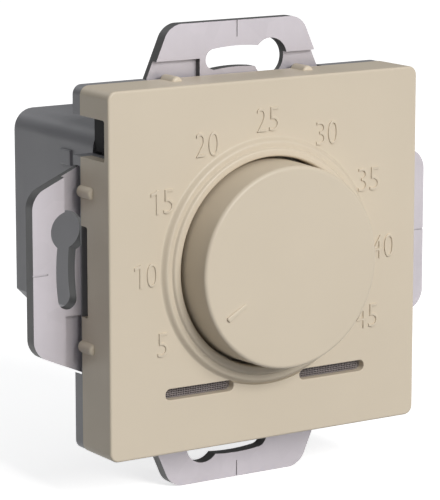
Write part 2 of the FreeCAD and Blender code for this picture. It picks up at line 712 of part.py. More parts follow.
def rear_housing():
    """The grey box in the wall, with posts, side catches, wire entries and screw holes."""
    outer = housing_block(0, HOUSING_DEPTH)
    back_edges = [edge for edge in outer.Edges if edge.BoundBox.YMin > HOUSING_DEPTH - TINY]
    body = outer.makeFillet(HOUSING_EDGE_R, back_edges)
    body = body.cut(housing_block(-CLEAR, INSIDE_BACK, HOUSING_WALL))
    posts = [rod(POST_R, 0, POST_LENGTH, x, z).common(outer) for x, z in post_places()]
    half = HOUSING_HALF + CATCH_PROUD
    catch = box(-half, half, CATCH_FROM, CATCH_FROM + CATCH_WIDTH,
                CATCH_CENTRE_Z - CATCH_HEIGHT / 2, CATCH_CENTRE_Z + CATCH_HEIGHT / 2)
    catch = catch.cut(slab(HOUSING_HALF - HOUSING_WALL / 2, -FAR, FAR))
    body = joined([body] + posts + [catch])
    cutters = [rod(HOUSING_SCREW_R + THREAD_GAP, -CLEAR, POST_LENGTH + HOUSING_SCREW_END_GAP, x, z)
               for x, z in post_places()]
    for x in terminal_places():
        cutters.append(rod(SCREW_ACCESS_R, INSIDE_BACK - CLEAR, FAR, x, TERMINAL_AXIS_Z))
        cutters.append(wire_entry(x))
    return body.cut(cutters)


def wire_entry(x):
    """The square way in for one wire, from below, as a cutter."""
    half = WIRE_ENTRY_WIDTH / 2
    return box(x - half, x + half, CLAMP_FRONT + CLAMP_YOKE, BAR_FRONT, -FAR, TERMINAL_AXIS_Z)


def housing_screws():
    """Pan-head screws through the plate into the housing's posts."""
    return [pan_head_screw(x, z, -PLATE_THICK, HOUSING_SCREW_HEAD_R, HOUSING_SCREW_HEAD, HOUSING_SCREW_R,
                           POST_LENGTH - HOUSING_SCREW_END_GAP) for x, z in post_places()]


def dial_knob():
    """The knob: a tapered shell with a boss for the shaft, ribs and a raised pointer."""
    front = -KNOB_FRONT
    under = front + KNOB_FACE_THICK
    root = under - KNOB_FACE_THICK / 2
    shell = lathe([(0, front), (KNOB_FRONT_R, front), (KNOB_BASE_R, KNOB_FOOT_Y), (0, KNOB_FOOT_Y)])
    rim = [edge for edge in shell.Edges if edge.BoundBox.YMax < front + TINY]
    shell = shell.makeFillet(KNOB_EDGE_R, rim)
    taper = KNOB_DRAFT / (KNOB_FOOT_Y - front)
    bore_r = KNOB_FRONT_R + taper * KNOB_FACE_THICK - KNOB_WALL
    mouth = KNOB_FOOT_Y + CLEAR
    shell = shell.cut(lathe([(0, under), (bore_r, under), (KNOB_BASE_R - KNOB_WALL, mouth), (0, mouth)]))
    boss = rod(KNOB_BOSS_R, root, KNOB_FOOT_Y)
    half = KNOB_RIB_THICK / 2
    reach = bore_r + KNOB_WALL / 2
    rib = box(-reach, reach, root, under + KNOB_RIB_DEPTH, -half, half)
    knob = joined([shell, boss, rib, turned(rib, 90), turned(pointer(root), POINTER_ANGLE)])
    return knob.cut(shaft_form(-SHAFT_TO_FACE, RUNNING_GAP / 2))


def pointer(root):
    """The raised bar on the knob's face, pointing up."""
    half = POINTER_WIDTH / 2
    tip = -KNOB_FRONT - POINTER_PROUD
    return joined([
        box(-half, half, tip, root, POINTER_NEAR, POINTER_FAR),
        rod(half, tip, root, 0, POINTER_NEAR),
        rod(half, tip, root, 0, POINTER_FAR),
    ])


def shaft_form(extra, grow):
    """The shaft with its flat, longer and fatter by the given amounts."""
    tip = KNOB_FACE_THICK - KNOB_FRONT + SHAFT_TO_FACE
    flat_end = tip + SHAFT_FLAT_LENGTH
    shaft = rod(SHAFT_R + grow, tip + extra, WIPER_BACK)
    flat = box(-FAR, FAR, -FAR, flat_end, SHAFT_R - SHAFT_FLAT + grow, FAR)
    return shaft.cut(turned(flat, POINTER_ANGLE))


def knob_clip():
    """The steel spring ring round the knob's boss."""
    inner = KNOB_BOSS_R + THREAD_GAP
    back = KNOB_FOOT_Y - CLIP_INSET
    ring = rod(inner + CLIP_THICK, back - CLIP_WIDTH, back)
    ring = ring.cut(rod(inner, -FAR, FAR))
    return ring.cut(box(-CLIP_GAP_HALF, CLIP_GAP_HALF, -FAR, FAR, 0, FAR))


def potentiometer_can():
    """The metal can with its bush."""
    back = TRACK_BACK - TRACK_THICK
    can = joined([rod(POT_R, -POT_FRONT, back), rod(BUSH_R, -POT_FRONT - BUSH_LENGTH, POT_WALL - POT_FRONT)])
    return can.cut([rod(POT_R - POT_WALL, POT_WALL - POT_FRONT, FAR), rod(SHAFT_R + RUNNING_GAP, -FAR, 0)])


def potentiometer_pins(y0, y1, grow=0.0):
    """The three pins under the upper edge of the track disc."""
    half = POT_PIN_SIDE / 2 + grow
    row = POT_R - POT_PIN_INSET
    return [box(x - half, x + half, y0, y1, row - half, row + half)
            for x in (-POT_PIN_PITCH, 0.0, POT_PIN_PITCH)]


def potentiometer_track():
    """The disc that closes the can and carries the resistive track, with three pins."""
    disc = rod(POT_R, TRACK_BACK - TRACK_THICK + SEAT_GAP, TRACK_BACK)
    return joined([disc] + potentiometer_pins(TRACK_BACK - TRACK_THICK / 2, CONTROL_BOARD_BACK + PIN_TAIL))


def potentiometer_wiper():
    """The disc with contact fingers that turns with the shaft."""
    radius = POT_R - POT_WALL - WIPER_GAP
    disc = rod(radius, WIPER_BACK - WIPER_THICK, WIPER_BACK).cut(rod(SHAFT_R + THREAD_GAP, -FAR, FAR))
    half = WIPER_FINGER / 2
    tip = radius - WIPER_FINGER_INSET
    finger = box(-half, half, WIPER_BACK - WIPER_THICK / 2, WIPER_BACK + WIPER_FINGER_PROUD,
                 tip - WIPER_FINGER, tip)
    return joined([disc, finger, turned(finger, WIPER_FINGER_TURN)])


def control_board():
    """The board behind the plate that carries the potentiometer and the comparator."""
    half = CONTROL_BOARD_HALF
    board = box(-half, half, CONTROL_BOARD_FRONT, CONTROL_BOARD_BACK, CONTROL_BOARD_BOTTOM, CONTROL_BOARD_TOP)
    return board.cut(potentiometer_pins(-FAR, FAR, SEAT_GAP) + header_pins(SEAT_GAP))


def power_board():
    """The board in the housing that carries the relay, the supply and the terminals."""
    board = housing_block(POWER_BOARD_FRONT, POWER_BOARD_BACK, HOUSING_WALL + POWER_BOARD_GAP)
    return board.cut(header_pins(SEAT_GAP) + power_leads(SEAT_GAP))


def header_pins(grow=0.0):
    """The row of pins that joins the two boards."""
    half = PIN_SIDE / 2 + grow
    first = -(PIN_COUNT - 1) / 2 * PIN_PITCH
    pins = []
    for index in range(PIN_COUNT):
        x = first + index * PIN_PITCH
        pins.append(box(x - half, x + half, CONTROL_BOARD_FRONT, POWER_BOARD_BACK + PIN_TAIL,
                        PIN_ROW_Z - half, PIN_ROW_Z + half))
    return pins


def header_spacer():
    """The plastic strip that holds the pins."""
    length = PIN_COUNT * PIN_PITCH / 2
    strip = box(-length, length, CONTROL_BOARD_BACK + SEAT_GAP, POWER_BOARD_FRONT - SEAT_GAP,
                PIN_ROW_Z - PIN_PITCH / 2, PIN_ROW_Z + PIN_PITCH / 2)
    return strip.cut(header_pins(SEAT_GAP / 2))


def lead_places():
    """Where the leads of each part pass through the power board."""
    places = []
    reach_x = RELAY_LENGTH / 2 - RELAY_LEAD_INSET
    reach_z = RELAY_HEIGHT / 2 - RELAY_LEAD_INSET
    for x in (RELAY_CENTRE_X - reach_x, RELAY_CENTRE_X + reach_x):
        places += [(x, RELAY_CENTRE_Z - reach_z), (x, RELAY_CENTRE_Z + reach_z)]
    reach = DROPPER_LENGTH / 2 - DROPPER_LEAD_INSET
    places += [(DROPPER_CENTRE_X - reach, DROPPER_CENTRE_Z), (DROPPER_CENTRE_X + reach, DROPPER_CENTRE_Z)]
    for x in SMOOTHER_X:
        places += [(x - SMOOTHER_R / 2, SMOOTHER_Z), (x + SMOOTHER_R / 2, SMOOTHER_Z)]
    places += [(VARISTOR_X - VARISTOR_LEAD_HALF, VARISTOR_Z), (VARISTOR_X + VARISTOR_LEAD_HALF, VARISTOR_Z)]
    places += [(FUSE_X, FUSE_Z)]
    return places


def power_leads(grow=0.0):
    """The leads of the tall parts, from their feet through the board."""
    return [rod(LEAD_R + grow, POWER_BOARD_FRONT - LEAD_BELOW, POWER_BOARD_BACK + PART_STANDOFF - grow, x, z)
            for x, z in lead_places()]


def boxed_part(x, z, length, height, depth, edge_r):
    """A square-cased part that stands on the power board."""
    case = box(x - length / 2, x + length / 2, PART_FOOT, PART_FOOT + depth, z - height / 2, z + height / 2)
    return case.makeFillet(edge_r, along_y(case))


def relay():
    """The sealed relay."""
    return boxed_part(RELAY_CENTRE_X, RELAY_CENTRE_Z, RELAY_LENGTH, RELAY_HEIGHT, RELAY_DEPTH, RELAY_EDGE_R)


def dropper_capacitor():
    """The mains dropper, a box film capacitor."""
    return boxed_part(DROPPER_CENTRE_X, DROPPER_CENTRE_Z, DROPPER_LENGTH, DROPPER_HEIGHT, DROPPER_DEPTH,
                      DROPPER_EDGE_R)


def smoothing_capacitors():
    """Two electrolytic cans with a crimp groove."""
    groove_y = PART_FOOT + SMOOTHER_GROOVE_FROM
    cans = []
    for x in SMOOTHER_X:
        can = rod(SMOOTHER_R, PART_FOOT, PART_FOOT + SMOOTHER_LENGTH, x, SMOOTHER_Z)
        groove = rod(SMOOTHER_R + CLEAR, groove_y, groove_y + SMOOTHER_GROOVE_WIDTH, x, SMOOTHER_Z)
        groove = groove.cut(rod(SMOOTHER_R - SMOOTHER_GROOVE_DEPTH, -FAR, FAR, x, SMOOTHER_Z))
        cans.append(can.cut(groove))
    return cans


def varistor():
    """The disc that clips surges."""
    middle = FreeCAD.Vector(VARISTOR_X, PART_FOOT + VARISTOR_R, VARISTOR_Z - VARISTOR_THICK / 2)
    disc = Part.makeCylinder(VARISTOR_R, VARISTOR_THICK, middle)
    return disc.makeFillet(VARISTOR_EDGE_R, [edge for edge in disc.Edges if edge.Closed])


def fuse():
    """The upright cartridge fuse."""
    cartridge = rod(FUSE_R, PART_FOOT, PART_FOOT + FUSE_LENGTH, FUSE_X, FUSE_Z)
    return cartridge.makeFillet(FUSE_EDGE_R, [edge for edge in cartridge.Edges if edge.Closed])


def rectifier_diodes():
    """Four diodes lying on the power board."""
    y = POWER_BOARD_BACK + SEAT_GAP + DIODE_R
    diodes = []
    for index in range(DIODE_COUNT):
        x = DIODE_FIRST_X + index * DIODE_PITCH
        end = FreeCAD.Vector(x, y, DIODE_Z - DIODE_LENGTH / 2)
        diodes.append(Part.makeCylinder(DIODE_R, DIODE_LENGTH, end))
    return diodes


def comparator_chip():
    """The chip on the rear of the control board, with its legs."""
    y0 = CONTROL_BOARD_BACK + CHIP_STANDOFF
    half_x = CHIP_LENGTH / 2
    half_z = CHIP_WIDTH / 2
    pieces = [box(-half_x, half_x, y0, y0 + CHIP_THICK, CHIP_Z - half_z, CHIP_Z + half_z)]
    first = -(CHIP_LEGS - 1) / 2 * CHIP_LEG_PITCH
    half = CHIP_LEG_WIDTH / 2
    for index in range(CHIP_LEGS):
        x = first + index * CHIP_LEG_PITCH
        pieces.append(box(x - half, x + half,
                          CONTROL_BOARD_BACK + PART_GAP, CONTROL_BOARD_BACK + CHIP_LEG_TOP,
                          CHIP_Z - half_z - CHIP_LEG_REACH, CHIP_Z + half_z + CHIP_LEG_REACH))
    return joined(pieces)


def resistors():
    """Chip resistors in a small grid on each side of the control board's rear."""
    y0 = CONTROL_BOARD_BACK + PART_GAP
    pieces = []
    for side in (-1, 1):
        for row in range(RESISTOR_ROWS):
            for column in range(RESISTOR_COLUMNS):
                x = side * (RESISTOR_CENTRE_X - RESISTOR_PITCH / 2 + column * RESISTOR_PITCH)
                z = RESISTOR_CENTRE_Z + (row - (RESISTOR_ROWS - 1) / 2) * RESISTOR_WIDTH * 2
                pieces.append(box(x - RESISTOR_LENGTH / 2, x + RESISTOR_LENGTH / 2, y0, y0 + RESISTOR_THICK,
                                  z - RESISTOR_WIDTH / 2, z + RESISTOR_WIDTH / 2))
    return pieces


def room_sensor():
    """The sensing bead behind the right-hand vent, with its two leads."""
    vent_back = COVER_FACE_THICK + SCREEN_THICK - COVER_FRONT
    y_bead = vent_back + SENSOR_BEAD_R + SLIP_GAP
    z = VENT_CENTRE_Z
    z_board = CONTROL_BOARD_BOTTOM + SENSOR_LEAD_INSET
    half = SENSOR_LEAD_GAP / 2
    pieces = [Part.makeSphere(SENSOR_BEAD_R, FreeCAD.Vector(SENSOR_X, y_bead, z))]
    for x in (SENSOR_X - half, SENSOR_X + half):
        pieces.append(rod(LEAD_R, y_bead, SENSOR_LEAD_Y, x, z))
        pieces.append(Part.makeCylinder(LEAD_R, z_board - z, FreeCAD.Vector(x, SENSOR_LEAD_Y, z)))
        pieces.append(rod(LEAD_R, SENSOR_LEAD_Y, TRACK_BACK, x, z_board))
        pieces += [Part.makeSphere(LEAD_R, FreeCAD.Vector(x, SENSOR_LEAD_Y, end)) for end in (z, z_board)]
    return joined(pieces)


def terminal_block():
    """The insulating block with a cell for each terminal."""
    half = (TERMINAL_COUNT - 1) / 2 * TERMINAL_PITCH + CELL_WIDTH / 2 + TERMINAL_BLOCK_EDGE
    bottom = HOUSING_WALL + SEAT_GAP - HOUSING_BOTTOM
    block = box(-half, half, POWER_BOARD_BACK + SEAT_GAP, INSIDE_BACK - SEAT_GAP,
                bottom, TERMINAL_BLOCK_TOP)
    block = block.common(housing_block(0, FAR, HOUSING_WALL + SEAT_GAP))
    reach = CELL_WIDTH / 2
    length = CLAMP_LENGTH / 2 + CLAMP_END_GAP
    cutters = []
    for x in terminal_places():
        cutters.append(box(x - reach, x + reach, CLAMP_FRONT - CLAMP_CLEARANCE, TERMINAL_HEAD_FRONT,
                           TERMINAL_AXIS_Z - length, TERMINAL_AXIS_Z + length))
        cutters.append(rod(TERMINAL_HEAD_R + CLAMP_CLEARANCE, CLAMP_FRONT + CLAMP_DEPTH, FAR,
                           x, TERMINAL_AXIS_Z))
        cutters += [wire_entry(x), contact_bar(x, SEAT_GAP)]
    return block.cut(cutters)


def contact_bar(x, grow=0.0):
    """The fixed bar inside one clamp, with its leg to the power board."""
    half = BAR_WIDTH / 2 + grow
    top = TERMINAL_BLOCK_TOP + BAR_TAIL + grow
    back = BAR_FRONT + BAR_THICK + grow
    plate = box(x - half, x + half, BAR_FRONT - grow, back, TERMINAL_AXIS_Z - CLAMP_LENGTH / 2, top)
    leg = box(x - half, x + half, POWER_BOARD_BACK + SEAT_GAP, back, top - BAR_THICK - 2 * grow, top)
    return joined([plate, leg])


def terminal_screw(x):
    """One terminal screw: a slotted head and a plain shank down to the bar."""
    head_back = TERMINAL_HEAD_FRONT + TERMINAL_HEAD
    head = rod(TERMINAL_HEAD_R, TERMINAL_HEAD_FRONT, head_back, x, TERMINAL_AXIS_Z)
    shank_end = head_back - DRIVER_SLOT_DEPTH
    shank = rod(TERMINAL_SCREW_R, BAR_FRONT + BAR_THICK + SEAT_GAP, shank_end, x, TERMINAL_AXIS_Z)
    half = DRIVER_SLOT_WIDTH / 2
    slot = box(-FAR, FAR, head_back - DRIVER_SLOT_DEPTH, FAR,
               TERMINAL_AXIS_Z - half, TERMINAL_AXIS_Z + half)
    return joined([head, shank]).cut(slot)


def wire_clamp(x):
    """One rising cage: open along the wire, threaded in its rear wall."""
    half = CELL_WIDTH / 2 - CLAMP_CLEARANCE
    back = CLAMP_FRONT + CLAMP_DEPTH
    z0 = TERMINAL_AXIS_Z - CLAMP_LENGTH / 2
    z1 = TERMINAL_AXIS_Z + CLAMP_LENGTH / 2
    cage = box(x - half, x + half, CLAMP_FRONT, back, z0, z1)
    room = box(x - half + CLAMP_WALL, x + half - CLAMP_WALL, CLAMP_FRONT + CLAMP_YOKE, back - CLAMP_YOKE,
               z0 - CLEAR, z1 + CLEAR)
    hole = rod(TERMINAL_SCREW_R + RUNNING_GAP, back - CLEAR - CLAMP_YOKE, FAR, x, TERMINAL_AXIS_Z)
    return cage.cut([room, hole])


os.makedirs("parts", exist_ok=True)
write("mounting_plate", mounting_plate())
write("front_cover", front_cover())
write("vent_screens", *vent_screens())
write("cover_screws", *cover_screws())
write("carrier_frame", carrier_frame())
write("inner_chassis", inner_chassis())
write("rear_housing", rear_housing())
write("housing_screws", *housing_screws())
write("dial_knob", dial_knob())
write("knob_clip", knob_clip())
write("potentiometer_shaft", shaft_form(0.0, 0.0))
write("potentiometer_wiper", potentiometer_wiper())
write("potentiometer_can", potentiometer_can())
write("potentiometer_track", potentiometer_track())
write("control_board", control_board())
write("comparator_chip", comparator_chip())
write("resistors", *resistors())
write("room_sensor", room_sensor())
write("header_pins", *header_pins())
write("header_spacer", header_spacer())
write("power_board", power_board())
write("power_leads", *power_leads())
write("relay", relay())
write("dropper_capacitor", dropper_capacitor())
write("smoothing_capacitors", *smoothing_capacitors())
write("varistor", varistor())
write("fuse", fuse())
write("rectifier_diodes", *rectifier_diodes())
write("terminal_block", terminal_block())
write("contact_bars", *[contact_bar(x) for x in terminal_places()])
for number, place in enumerate(terminal_places(), 1):
    write("terminal_screw_" + str(number), terminal_screw(place))
    write("wire_clamp_" + str(number), wire_clamp(place))
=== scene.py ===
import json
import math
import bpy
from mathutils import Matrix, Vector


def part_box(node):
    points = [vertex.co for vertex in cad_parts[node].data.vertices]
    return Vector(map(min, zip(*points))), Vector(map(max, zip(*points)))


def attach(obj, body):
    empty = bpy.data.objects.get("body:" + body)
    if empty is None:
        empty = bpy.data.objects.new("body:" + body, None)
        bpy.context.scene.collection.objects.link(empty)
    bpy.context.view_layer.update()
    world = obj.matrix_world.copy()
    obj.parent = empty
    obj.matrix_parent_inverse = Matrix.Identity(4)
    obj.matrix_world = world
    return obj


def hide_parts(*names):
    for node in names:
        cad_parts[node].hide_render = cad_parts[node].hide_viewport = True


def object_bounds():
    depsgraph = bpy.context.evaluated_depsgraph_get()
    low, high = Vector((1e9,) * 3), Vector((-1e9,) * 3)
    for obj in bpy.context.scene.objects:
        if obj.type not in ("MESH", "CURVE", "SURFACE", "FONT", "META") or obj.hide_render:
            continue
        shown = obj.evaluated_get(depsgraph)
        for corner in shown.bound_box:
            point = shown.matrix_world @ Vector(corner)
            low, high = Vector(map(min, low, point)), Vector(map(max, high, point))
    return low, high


bl_info = {
    "name": "Room thermostat",
    "version": (1, 0, 0),
    "blender": (4, 5, 0),
    "location": "3D View > Sidebar > Thermostat",
    "description": "Models the visible pieces of a flush-mounted room thermostat round its frame",
    "category": "Add Mesh",
}

import bmesh
import bpy
from bpy.props import FloatProperty, FloatVectorProperty, IntProperty, PointerProperty
from mathutils import Vector

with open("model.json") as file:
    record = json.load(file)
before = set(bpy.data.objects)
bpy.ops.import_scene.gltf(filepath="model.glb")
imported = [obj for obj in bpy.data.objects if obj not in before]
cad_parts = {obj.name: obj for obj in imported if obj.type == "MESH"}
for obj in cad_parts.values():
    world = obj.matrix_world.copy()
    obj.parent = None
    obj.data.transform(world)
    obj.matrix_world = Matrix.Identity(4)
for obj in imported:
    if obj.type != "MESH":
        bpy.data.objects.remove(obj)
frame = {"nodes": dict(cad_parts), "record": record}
FRAME_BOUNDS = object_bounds()

# ---- places taken from the frame, in metres ----
COVER_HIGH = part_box("front_cover")[1]
KNOB_LOW, KNOB_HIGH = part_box("dial_knob")
PLATE_LOW, PLATE_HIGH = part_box("mounting_plate")
CARRIER_LOW, CARRIER_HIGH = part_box("carrier_frame")
HOUSING_LOW, HOUSING_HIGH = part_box("rear_housing")
SCREEN_LOW, SCREEN_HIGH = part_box("vent_screens")
BOARD_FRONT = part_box("power_board")[0].y
CLAMP_PLACES = [sum(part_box("wire_clamp_%d" % number), Vector()) / 2 for number in range(1, 5)]
COVER_SCREW_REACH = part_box("cover_screws")[1].z
MOUNT = frame["record"]["mounts"][0]["dims"]
SCREW_CIRCLE = MOUNT["pcd_mm"] / 2000
KEYHOLE = MOUNT["hole_r_mm"] / 1000
DIAL_SWEEP = math.radians(frame["record"]["behaviour"]["joints"][0]["range_deg"][1])

MM = 0.001
CLEAR = 1 * MM               # how far a cutter runs past what it cuts
FAR = 60 * MM
AROUND = 160                 # sides of the large rounds
SMALL_AROUND = 32
SIDE_LUGS = (12.0 * MM, -11.3 * MM)      # heights of the lugs on the left and right sides
END_LUGS = (-12.85 * MM, 10.5 * MM)      # places of the lugs on the top and bottom
LUG_ROUNDING = 0.45          # share of a lug's radius that rounds its front end
VENT_END = 0.98              # share of a vent's half-height that rounds its ends
VENT_EDGE = 0.14 * MM
VENT_MARGIN = 0.02 * MM      # room within which an edge counts as a vent's own
OPENING_ROUND = 0.35 * MM    # inner corners of the window
NOTCH_ROUND = 0.3 * MM
SIDE_PAST = 0.1 * MM         # how far the window and notch run past the side's inner face
COLLAR_ROOM = 0.5 * MM       # from the collar's opening to the hole that it is joined into
SCREW_HEAD_R = 2.2 * MM      # heads of the cover screws
SCREW_HOLE_R = 1.4 * MM
DIGIT_FOOT = 0.06 * MM       # how deep a digit stands in the face
DIGIT_ROUND = 0.045 * MM
POINTER_FOOT = 0.08 * MM
POINTER_LOW = 0.16 * MM      # height of the pointer's inner end
POINTER_TAPER = 0.8          # width of its inner end against its outer end
POINTER_ROUNDING = 0.7
POINTER_EDGE = 0.22 * MM
RIB_HALF = 0.5 * MM
RIB_DEPTH = 3.0 * MM
EAR_FOOT = 24.0 * MM         # height at which an ear's taper ends
RECESS_FAR = 20.0 * MM       # how far to the side the plate's recesses are cut
CARRIER_FRONT = -2.35 * MM
EAR_ROOM = 0.3 * MM          # between the plate's ears and the carrier frame
EAR_SKIN = 0.05 * MM         # between the plate's ears and the carrier frame in front of them
SKIRT_LAP = 0.5 * MM
CATCH_Y = 6.2 * MM
CATCH_Z = (14.2 * MM, 16.6 * MM)
CATCH_FOOT = 0.8 * MM
ENTRY_BEHIND = 2.6 * MM      # how far a wire entry runs in front of and behind its clamp's middle
ENTRY_AHEAD = 1.2 * MM
POST_R = 2.5 * MM
POST_HOLE_R = 1.13 * MM
POST_GAP = 1.2 * MM          # between the housing's posts and the power board
HOUSING_SCREW_R = 2.1 * MM   # heads of the housing screws
LOWER_POST_X = 14.6 * MM
KEY_LIGHT = ((0.13, -1.17, 0.60), 0.50, 14.2, (1.0, 0.985, 0.96))     # place, size, power, tint
BACK_LIGHT = ((-0.35, 0.9, 0.9), 0.7, 2.0, (0.98, 0.99, 1.0))
ROOM_LIGHT = (0.10, 0.36)    # from straight below to straight above
CAMERA_PLACE = (-229.28, -352.61, 82.25)    # in millimetres
CAMERA_TARGET = (-5.81, -6.39, 1.56)


def length(name, description, millimetres):
    """A size that a user can change, kept in metres."""
    return FloatProperty(name=name, description=description, default=millimetres * MM, unit="LENGTH",
                         precision=5)


def colour(name, description, default):
    """A colour that a user can change."""
    return FloatVectorProperty(name=name, description=description, default=default, subtype="COLOR",
                               size=3, min=0.0, max=1.0)


class CoverSizes(bpy.types.PropertyGroup):
    """Sizes of the front cover."""
    lug_proud: length("Lug height", "How far the small lugs stand off the sides", 0.7)
    lug_radius: length("Lug radius", "Radius of the small lugs", 0.95)
    lug_length: length("Lug length", "How far the lugs run forward from the back edge", 3.5)
    wall: length("Wall", "Thickness of the cover's sides", 1.9)
    face: length("Face", "Thickness of the cover's face", 2.0)
    front: length("Front", "How far the face stands off the wall", 10.5)
    corner: length("Corner radius", "Radius of the four corners", 1.4)
    edge: length("Edge radius", "Radius of the edge round the face", 0.35)
    window_low: length("Window bottom", "Lower end of the opening in the left side", 17.1)
    window_high: length("Window top", "Upper end of the opening in the left side", 23.2)
    window_front: length("Window front", "How far forward the opening reaches", 9.3)
    notch: length("Notch", "Half-length of the notch in the left side", 6.84)
    notch_front: length("Notch front", "How far forward the notch reaches", 4.15)


class CollarSizes(bpy.types.PropertyGroup):
    """Sizes of the moulding round the knob."""
    radius: length("Opening radius", "Radius of the opening for the knob", 15.91)
    bead: length("Bead width", "Width of the inner bead", 1.3)
    bead_height: length("Bead height", "How far the inner bead stands off the face", 1.15)
    rim: length("Rim width", "Width of the outer rim", 1.69)
    rim_height: length("Rim height", "How far the outer rim stands off the face", 0.78)
    groove: length("Groove", "Depth of the groove between bead and rim, below the bead", 0.42)
    cup: length("Cup depth", "From the cover's face to the cup's floor", 2.7)
    cup_wall: length("Cup wall", "Thickness of the cup's wall and floor", 1.2)
    hole: length("Floor hole", "Radius of the hole for the bush", 4.2)


class NumeralSizes(bpy.types.PropertyGroup):
    """Sizes of the raised numbers."""
    first: IntProperty(name="First", description="Lowest number", default=5)
    last: IntProperty(name="Last", description="Highest number", default=45)
    step: IntProperty(name="Step", description="From one number to the next", default=5)
    circle: length("Circle", "Radius of the circle that the numbers stand on", 21.4)
    height: length("Height", "Height of a digit", 3.6)
    width: length("Width", "Width of a digit", 1.75)
    gap: length("Gap", "Between two digits", 0.45)
    proud: length("Relief", "How far the digits stand off the face", 0.2)


class KnobSizes(bpy.types.PropertyGroup):
    """Sizes of the knob."""
    base: length("Base radius", "Radius at the skirt", KNOB_HIGH.x / MM)
    draft: length("Draft", "How much smaller the face's radius is", 0.21)
    front: length("Front", "How far the knob's face stands off the wall", 17.2)
    edge: length("Edge radius", "Radius of the edge round the knob's face", 0.55)
    wall: length("Wall", "Thickness of the knob's skirt", 1.6)
    face: length("Face", "Thickness of the knob's face", 1.5)
    boss: length("Boss radius", "Radius of the boss round the shaft", 4.6)
    bore: length("Bore radius", "Radius of the bore for the shaft", 3.03)
    bore_depth: length("Bore end", "From the knob's face to the end of the bore", 0.9)
    pointer_near: length("Pointer start", "From the axis to the pointer's inner end", 9.3)
    pointer_far: length("Pointer end", "From the axis to the pointer's outer end", 13.25)
    pointer_width: length("Pointer width", "Width of the pointer", 0.85)


class PlateSizes(bpy.types.PropertyGroup):
    """Sizes of the mounting plate."""
    thick: length("Thickness", "Thickness of the doubled sheet", -PLATE_LOW.y / MM)
    sheet: length("Single sheet", "Thickness in the recesses", 1.02)
    tip: length("Tip", "Half-width of an ear at its tip", 11.84)
    slope: FloatProperty(name="Slope", description="How fast an ear widens towards the axis", default=0.4376)
    neck: length("Neck", "Half-width of an ear where it meets the ring", 14.0)
    neck_reach: length("Neck reach", "Where an ear meets the ring", 20.0)
    corner: length("Corner radius", "Radius of an ear's corners", 2.0)
    ring_outer: length("Ring outside", "Outer radius of the ring", 27.0)
    ring_inner: length("Ring inside", "Inner radius of the ring", 18.5)
    tongue: length("Tongue", "Half-width of the doubled tongue", 6.6)
    recess: length("Recess", "Where the recesses end", 30.03)
    slot: length("Slot width", "Width of the curved slot", 3.15)
    slot_end: FloatProperty(name="Slot end", description="Closed end of the slot", subtype="ANGLE",
                            default=math.radians(-7.6))
    keyhole: FloatProperty(name="Keyhole", description="Place of the keyhole", subtype="ANGLE",
                           default=math.radians(11.75))
    mark: length("Mark", "Width of the scribed centre line", 0.25)
    mark_length: length("Mark length", "Length of the scribed centre line", 2.5)
    mark_depth: length("Mark depth", "Depth of the scribed centre line", 0.15)


class HousingSizes(bpy.types.PropertyGroup):
    """Sizes of the carrier frame and the rear housing."""
    half: length("Half-width", "Half the housing's width", 24.0)
    bevel: length("Bevel", "How far the lower corners are cut off", 12.4)
    corner: length("Corner radius", "Radius of the upper corners", 3.2)
    edge: length("Edge radius", "Radius of the edge round the back", 0.8)
    wall: length("Wall", "Thickness of the housing's sides", 1.6)
    back: length("Back", "Thickness of the housing's back", 1.8)
    access: length("Access holes", "Radius of the holes over the terminal screws", 2.6)
    entry: length("Wire entries", "Width of the square entries for the wires", 3.8)
    catch: length("Catch length", "Length of the small side catches", 3.0)
    carrier_wall: length("Skirt", "Thickness of the carrier frame's skirt", 1.2)
    carrier_slip: length("Slip", "Between the carrier frame and the housing", 0.3)


class ScreenSizes(bpy.types.PropertyGroup):
    """Sizes of the vents and the mesh behind them."""
    near: length("Near end", "From the middle to the near end of a vent", 6.0)
    far: length("Far end", "From the middle to the far end of a vent", 18.0)
    height: length("Height", "Height of a vent", 1.7)
    centre: length("Place", "Middle line of the vents", (SCREEN_LOW.z + SCREEN_HIGH.z) / 2 / MM)
    pitch: length("Wire pitch", "From one wire to the next", 0.30)
    wire: length("Wire radius", "Radius of a wire", 0.06)


class Finishes(bpy.types.PropertyGroup):
    """Colours of the main materials."""
    cover: colour("Cover", "Moulded plastic of the cover and knob", (0.635, 0.555, 0.440))
    steel: colour("Steel", "Zinc-plated sheet steel", (0.530, 0.498, 0.535))
    cut_edge: colour("Cut edge", "Sheared edges of the sheet steel", (0.115, 0.115, 0.115))
    grey: colour("Grey plastic", "Moulded plastic of the housing", (0.235, 0.235, 0.250))
    # The chassis is real black plastic, and its near-black also paints the deep shade seen inside the
    # cover's side window (painted shade).
    black: colour("Black plastic", "Moulded plastic of the chassis", (0.012, 0.012, 0.013))
    floor: colour("Floor", "Plain floor", (0.90, 0.90, 0.90))


class ThermostatSettings(bpy.types.PropertyGroup):
    """All the sizes and colours of the thermostat."""
    cover: PointerProperty(type=CoverSizes)
    collar: PointerProperty(type=CollarSizes)
    numerals: PointerProperty(type=NumeralSizes)
    knob: PointerProperty(type=KnobSizes)
    plate: PointerProperty(type=PlateSizes)
    housing: PointerProperty(type=HousingSizes)
    screens: PointerProperty(type=ScreenSizes)
    finishes: PointerProperty(type=Finishes)


# ---------------------------------------------------------------- modelling aids

def leave_edit():
    """Go back to object mode with nothing selected."""
    if bpy.context.object and bpy.context.object.mode != "OBJECT":
        bpy.ops.object.mode_set(mode="OBJECT")
    bpy.ops.object.select_all(action="DESELECT")


def take(piece):
    """Make one piece the only selected and active one."""
    leave_edit()
    piece.select_set(True)
    bpy.context.view_layer.objects.active = piece
    return piece


def settle(piece):
    """Put a piece's place, turn and size into its mesh."""
    take(piece)
    bpy.ops.object.transform_apply(location=True, rotation=True, scale=True)
    return piece


